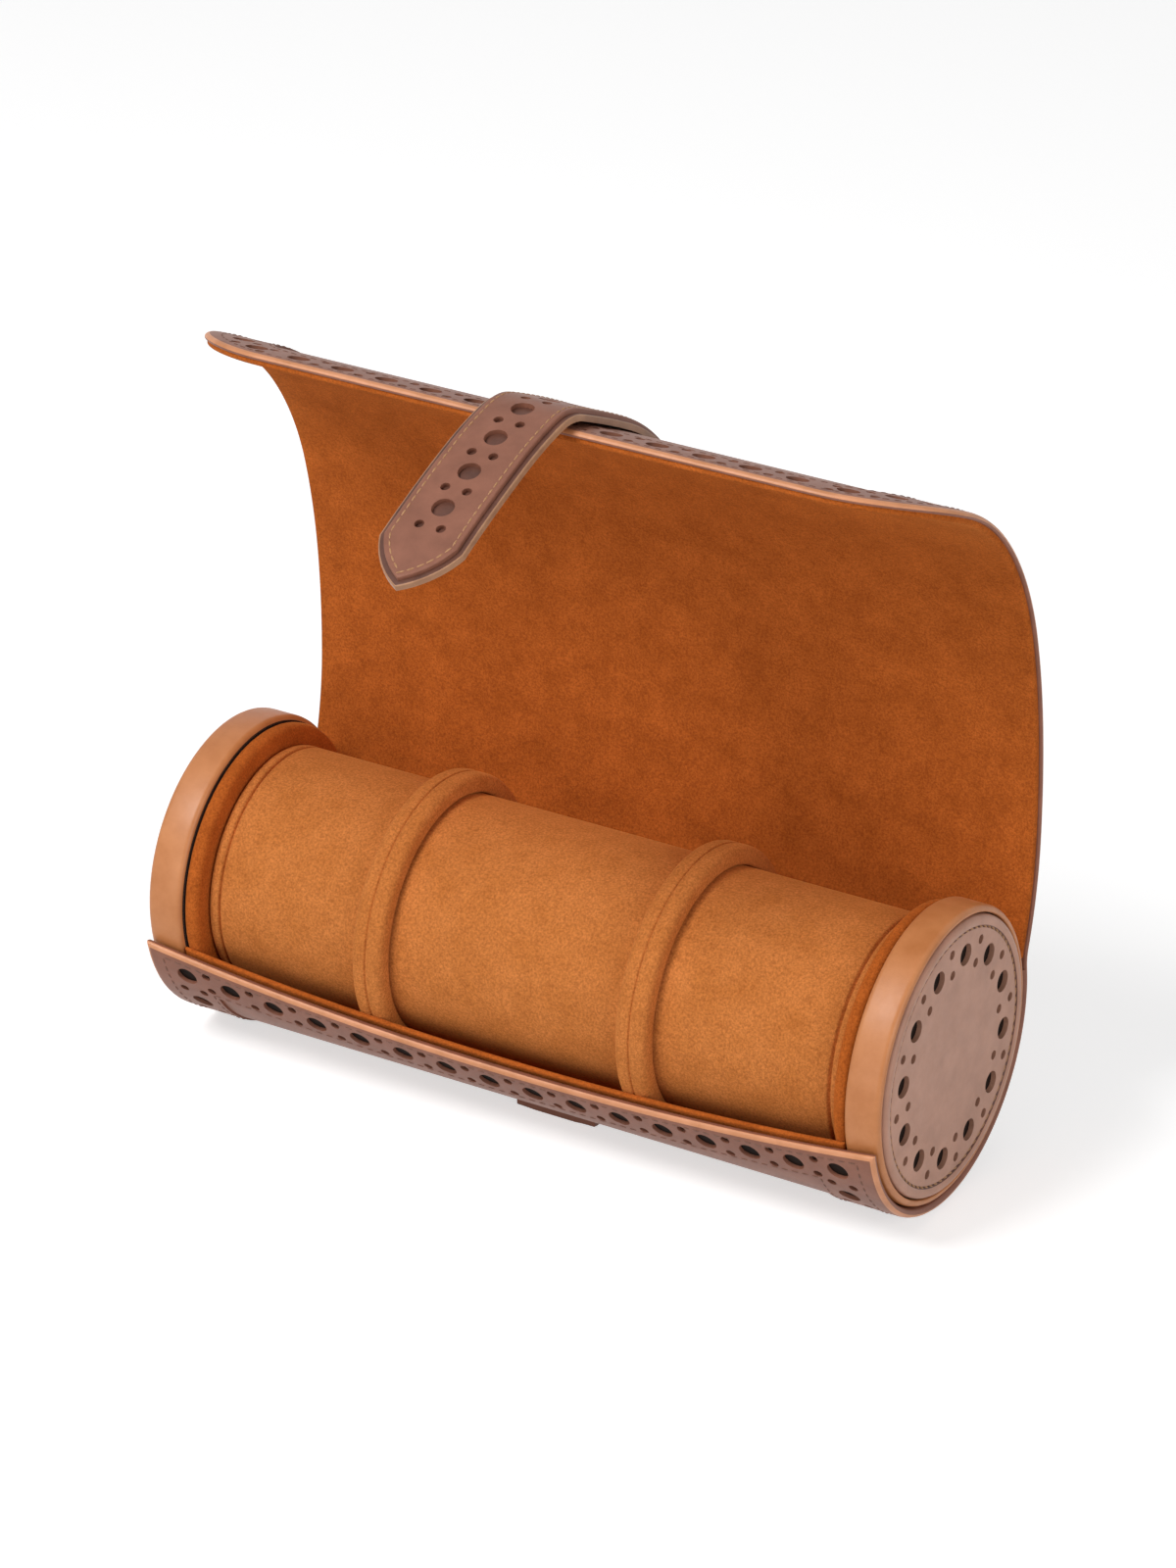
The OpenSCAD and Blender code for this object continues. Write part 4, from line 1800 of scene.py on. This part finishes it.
@dataclass
class Stiffeners:
    """The hidden magnets, tube and boards, which stay as the CAD has them."""

    finishes: tuple[tuple[Finish, tuple[str, ...]], ...] = (
        (Finish.MAGNET, ("closure_magnet", "strap_magnet")),
        (Finish.BOARD, ("core_tube", "tube_plug_left", "tube_plug_right")),
        # The end boards are painted nearly black as the shade in the gap by the rims
        (Finish.GAP_SHADE, ("end_board_left", "end_board_right")),
        (Finish.BOARD, ("divider_core_left", "divider_core_right")),
    )

    def build(self) -> None:
        """Gives each of them its finish."""
        for finish, names in self.finishes:
            for name in names:
                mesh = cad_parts[name].data
                mesh.materials.clear()
                mesh.materials.append(finish.material)


# Stage


@dataclass(frozen=True)
class Camera:
    """The camera at the photograph's place and angle.

    Attributes:
        place: Place in metres.
        right: Direction of the picture's right side.
        up: Direction of the picture's top.
        lens: Focal length in mm.
        sensor: Width of the sensor in mm.
    """

    place: tuple[float, float, float] = (0.7258, -1.2182, 0.8266)
    right: tuple[float, float, float] = (0.8598, 0.5107, 0.0)
    up: tuple[float, float, float] = (-0.2345, 0.3949, 0.8883)
    lens: float = 141.0
    sensor: float = 36.0

    def build(self) -> None:
        """Adds the camera."""
        data = bpy.data.cameras.new("camera")
        data.lens = self.lens
        data.sensor_width = self.sensor
        camera = bpy.data.objects.new("camera", data)
        right, up = Vector(self.right), Vector(self.up)
        turn = Matrix((right, up, right.cross(up))).transposed().to_4x4()
        camera.matrix_world = Matrix.Translation(self.place) @ turn
        bpy.context.scene.collection.objects.link(camera)
        bpy.context.scene.camera = camera


@dataclass(frozen=True)
class Floor:
    """The pale floor.

    Attributes:
        half: Half its size, in metres.
    """

    half: float = 6.0

    def build(self) -> None:
        """Adds the floor."""
        bm = bmesh.new()
        bmesh.ops.create_grid(bm, x_segments=1, y_segments=1, size=self.half)
        add_object("floor", bm, Finish.PAPER)


@dataclass(frozen=True)
class World:
    """The white surroundings.

    Attributes:
        light: Their strength as light on the roll.
        seen: Their strength to the camera and in reflections.
    """

    light: float = 0.14
    seen: float = 1.0

    def build(self) -> None:
        """Adds the world."""
        world = bpy.data.worlds.new("studio")
        bpy.context.scene.world = world
        world.use_nodes = True
        tree = world.node_tree
        back = tree.nodes["Background"]
        level = tree.nodes.new("ShaderNodeMapRange")
        level.inputs["To Min"].default_value = self.light
        level.inputs["To Max"].default_value = self.seen
        tree.links.new(seen_rays(tree), level.inputs["Value"])
        tree.links.new(level.outputs["Result"], back.inputs["Strength"])
        back.inputs["Color"].default_value = linear("FFFFFF")


@dataclass(frozen=True)
class Softbox:
    """A white area lamp that looks at the middle of the roll.

    Attributes:
        name: Name of the lamp.
        place: Place in metres.
        size: Length of its sides in metres.
        power: Power in watts.
        aim: The place that it looks at, in metres.
    """

    name: str
    place: tuple[float, float, float]
    size: float
    power: float
    aim: tuple[float, float, float] = (0.0, 0.0, 0.08)

    def build(self) -> None:
        """Adds the lamp."""
        data = bpy.data.lights.new(self.name, "AREA")
        data.size = self.size
        data.energy = self.power
        lamp = bpy.data.objects.new(self.name, data)
        lamp.location = self.place
        way = Vector(self.aim) - lamp.location
        lamp.rotation_euler = way.to_track_quat("-Z", "Y").to_euler()
        bpy.context.scene.collection.objects.link(lamp)


def main() -> None:
    """Builds the whole scene."""
    logging.basicConfig(level=logging.INFO, format="%(name)s: %(message)s")
    for piece in (
        Camera(), Wrap(), Strap(), EndCap(Side.LEFT), EndCap(Side.RIGHT), InnerRoll(),
        Divider(Side.LEFT, -43.2), Divider(Side.RIGHT, 36.8), ClosurePad(), Stiffeners(),
        Floor(), World(),
        Softbox("key", (-0.5, -0.95, 1.35), 0.6, 18.5),
        Softbox("fill", (1.25, -0.45, 0.5), 0.8, 7.0),
        Softbox("low", (-0.3, -1.5, 0.2), 0.8, 5.0),
        Softbox("top", (0.1, 0.2, 1.6), 1.0, 2.0),
    ):
        piece.build()
        log.info("built %s", type(piece).__name__)
    bpy.context.scene.view_settings.view_transform = "Standard"


if __name__ == "__main__":
    main()
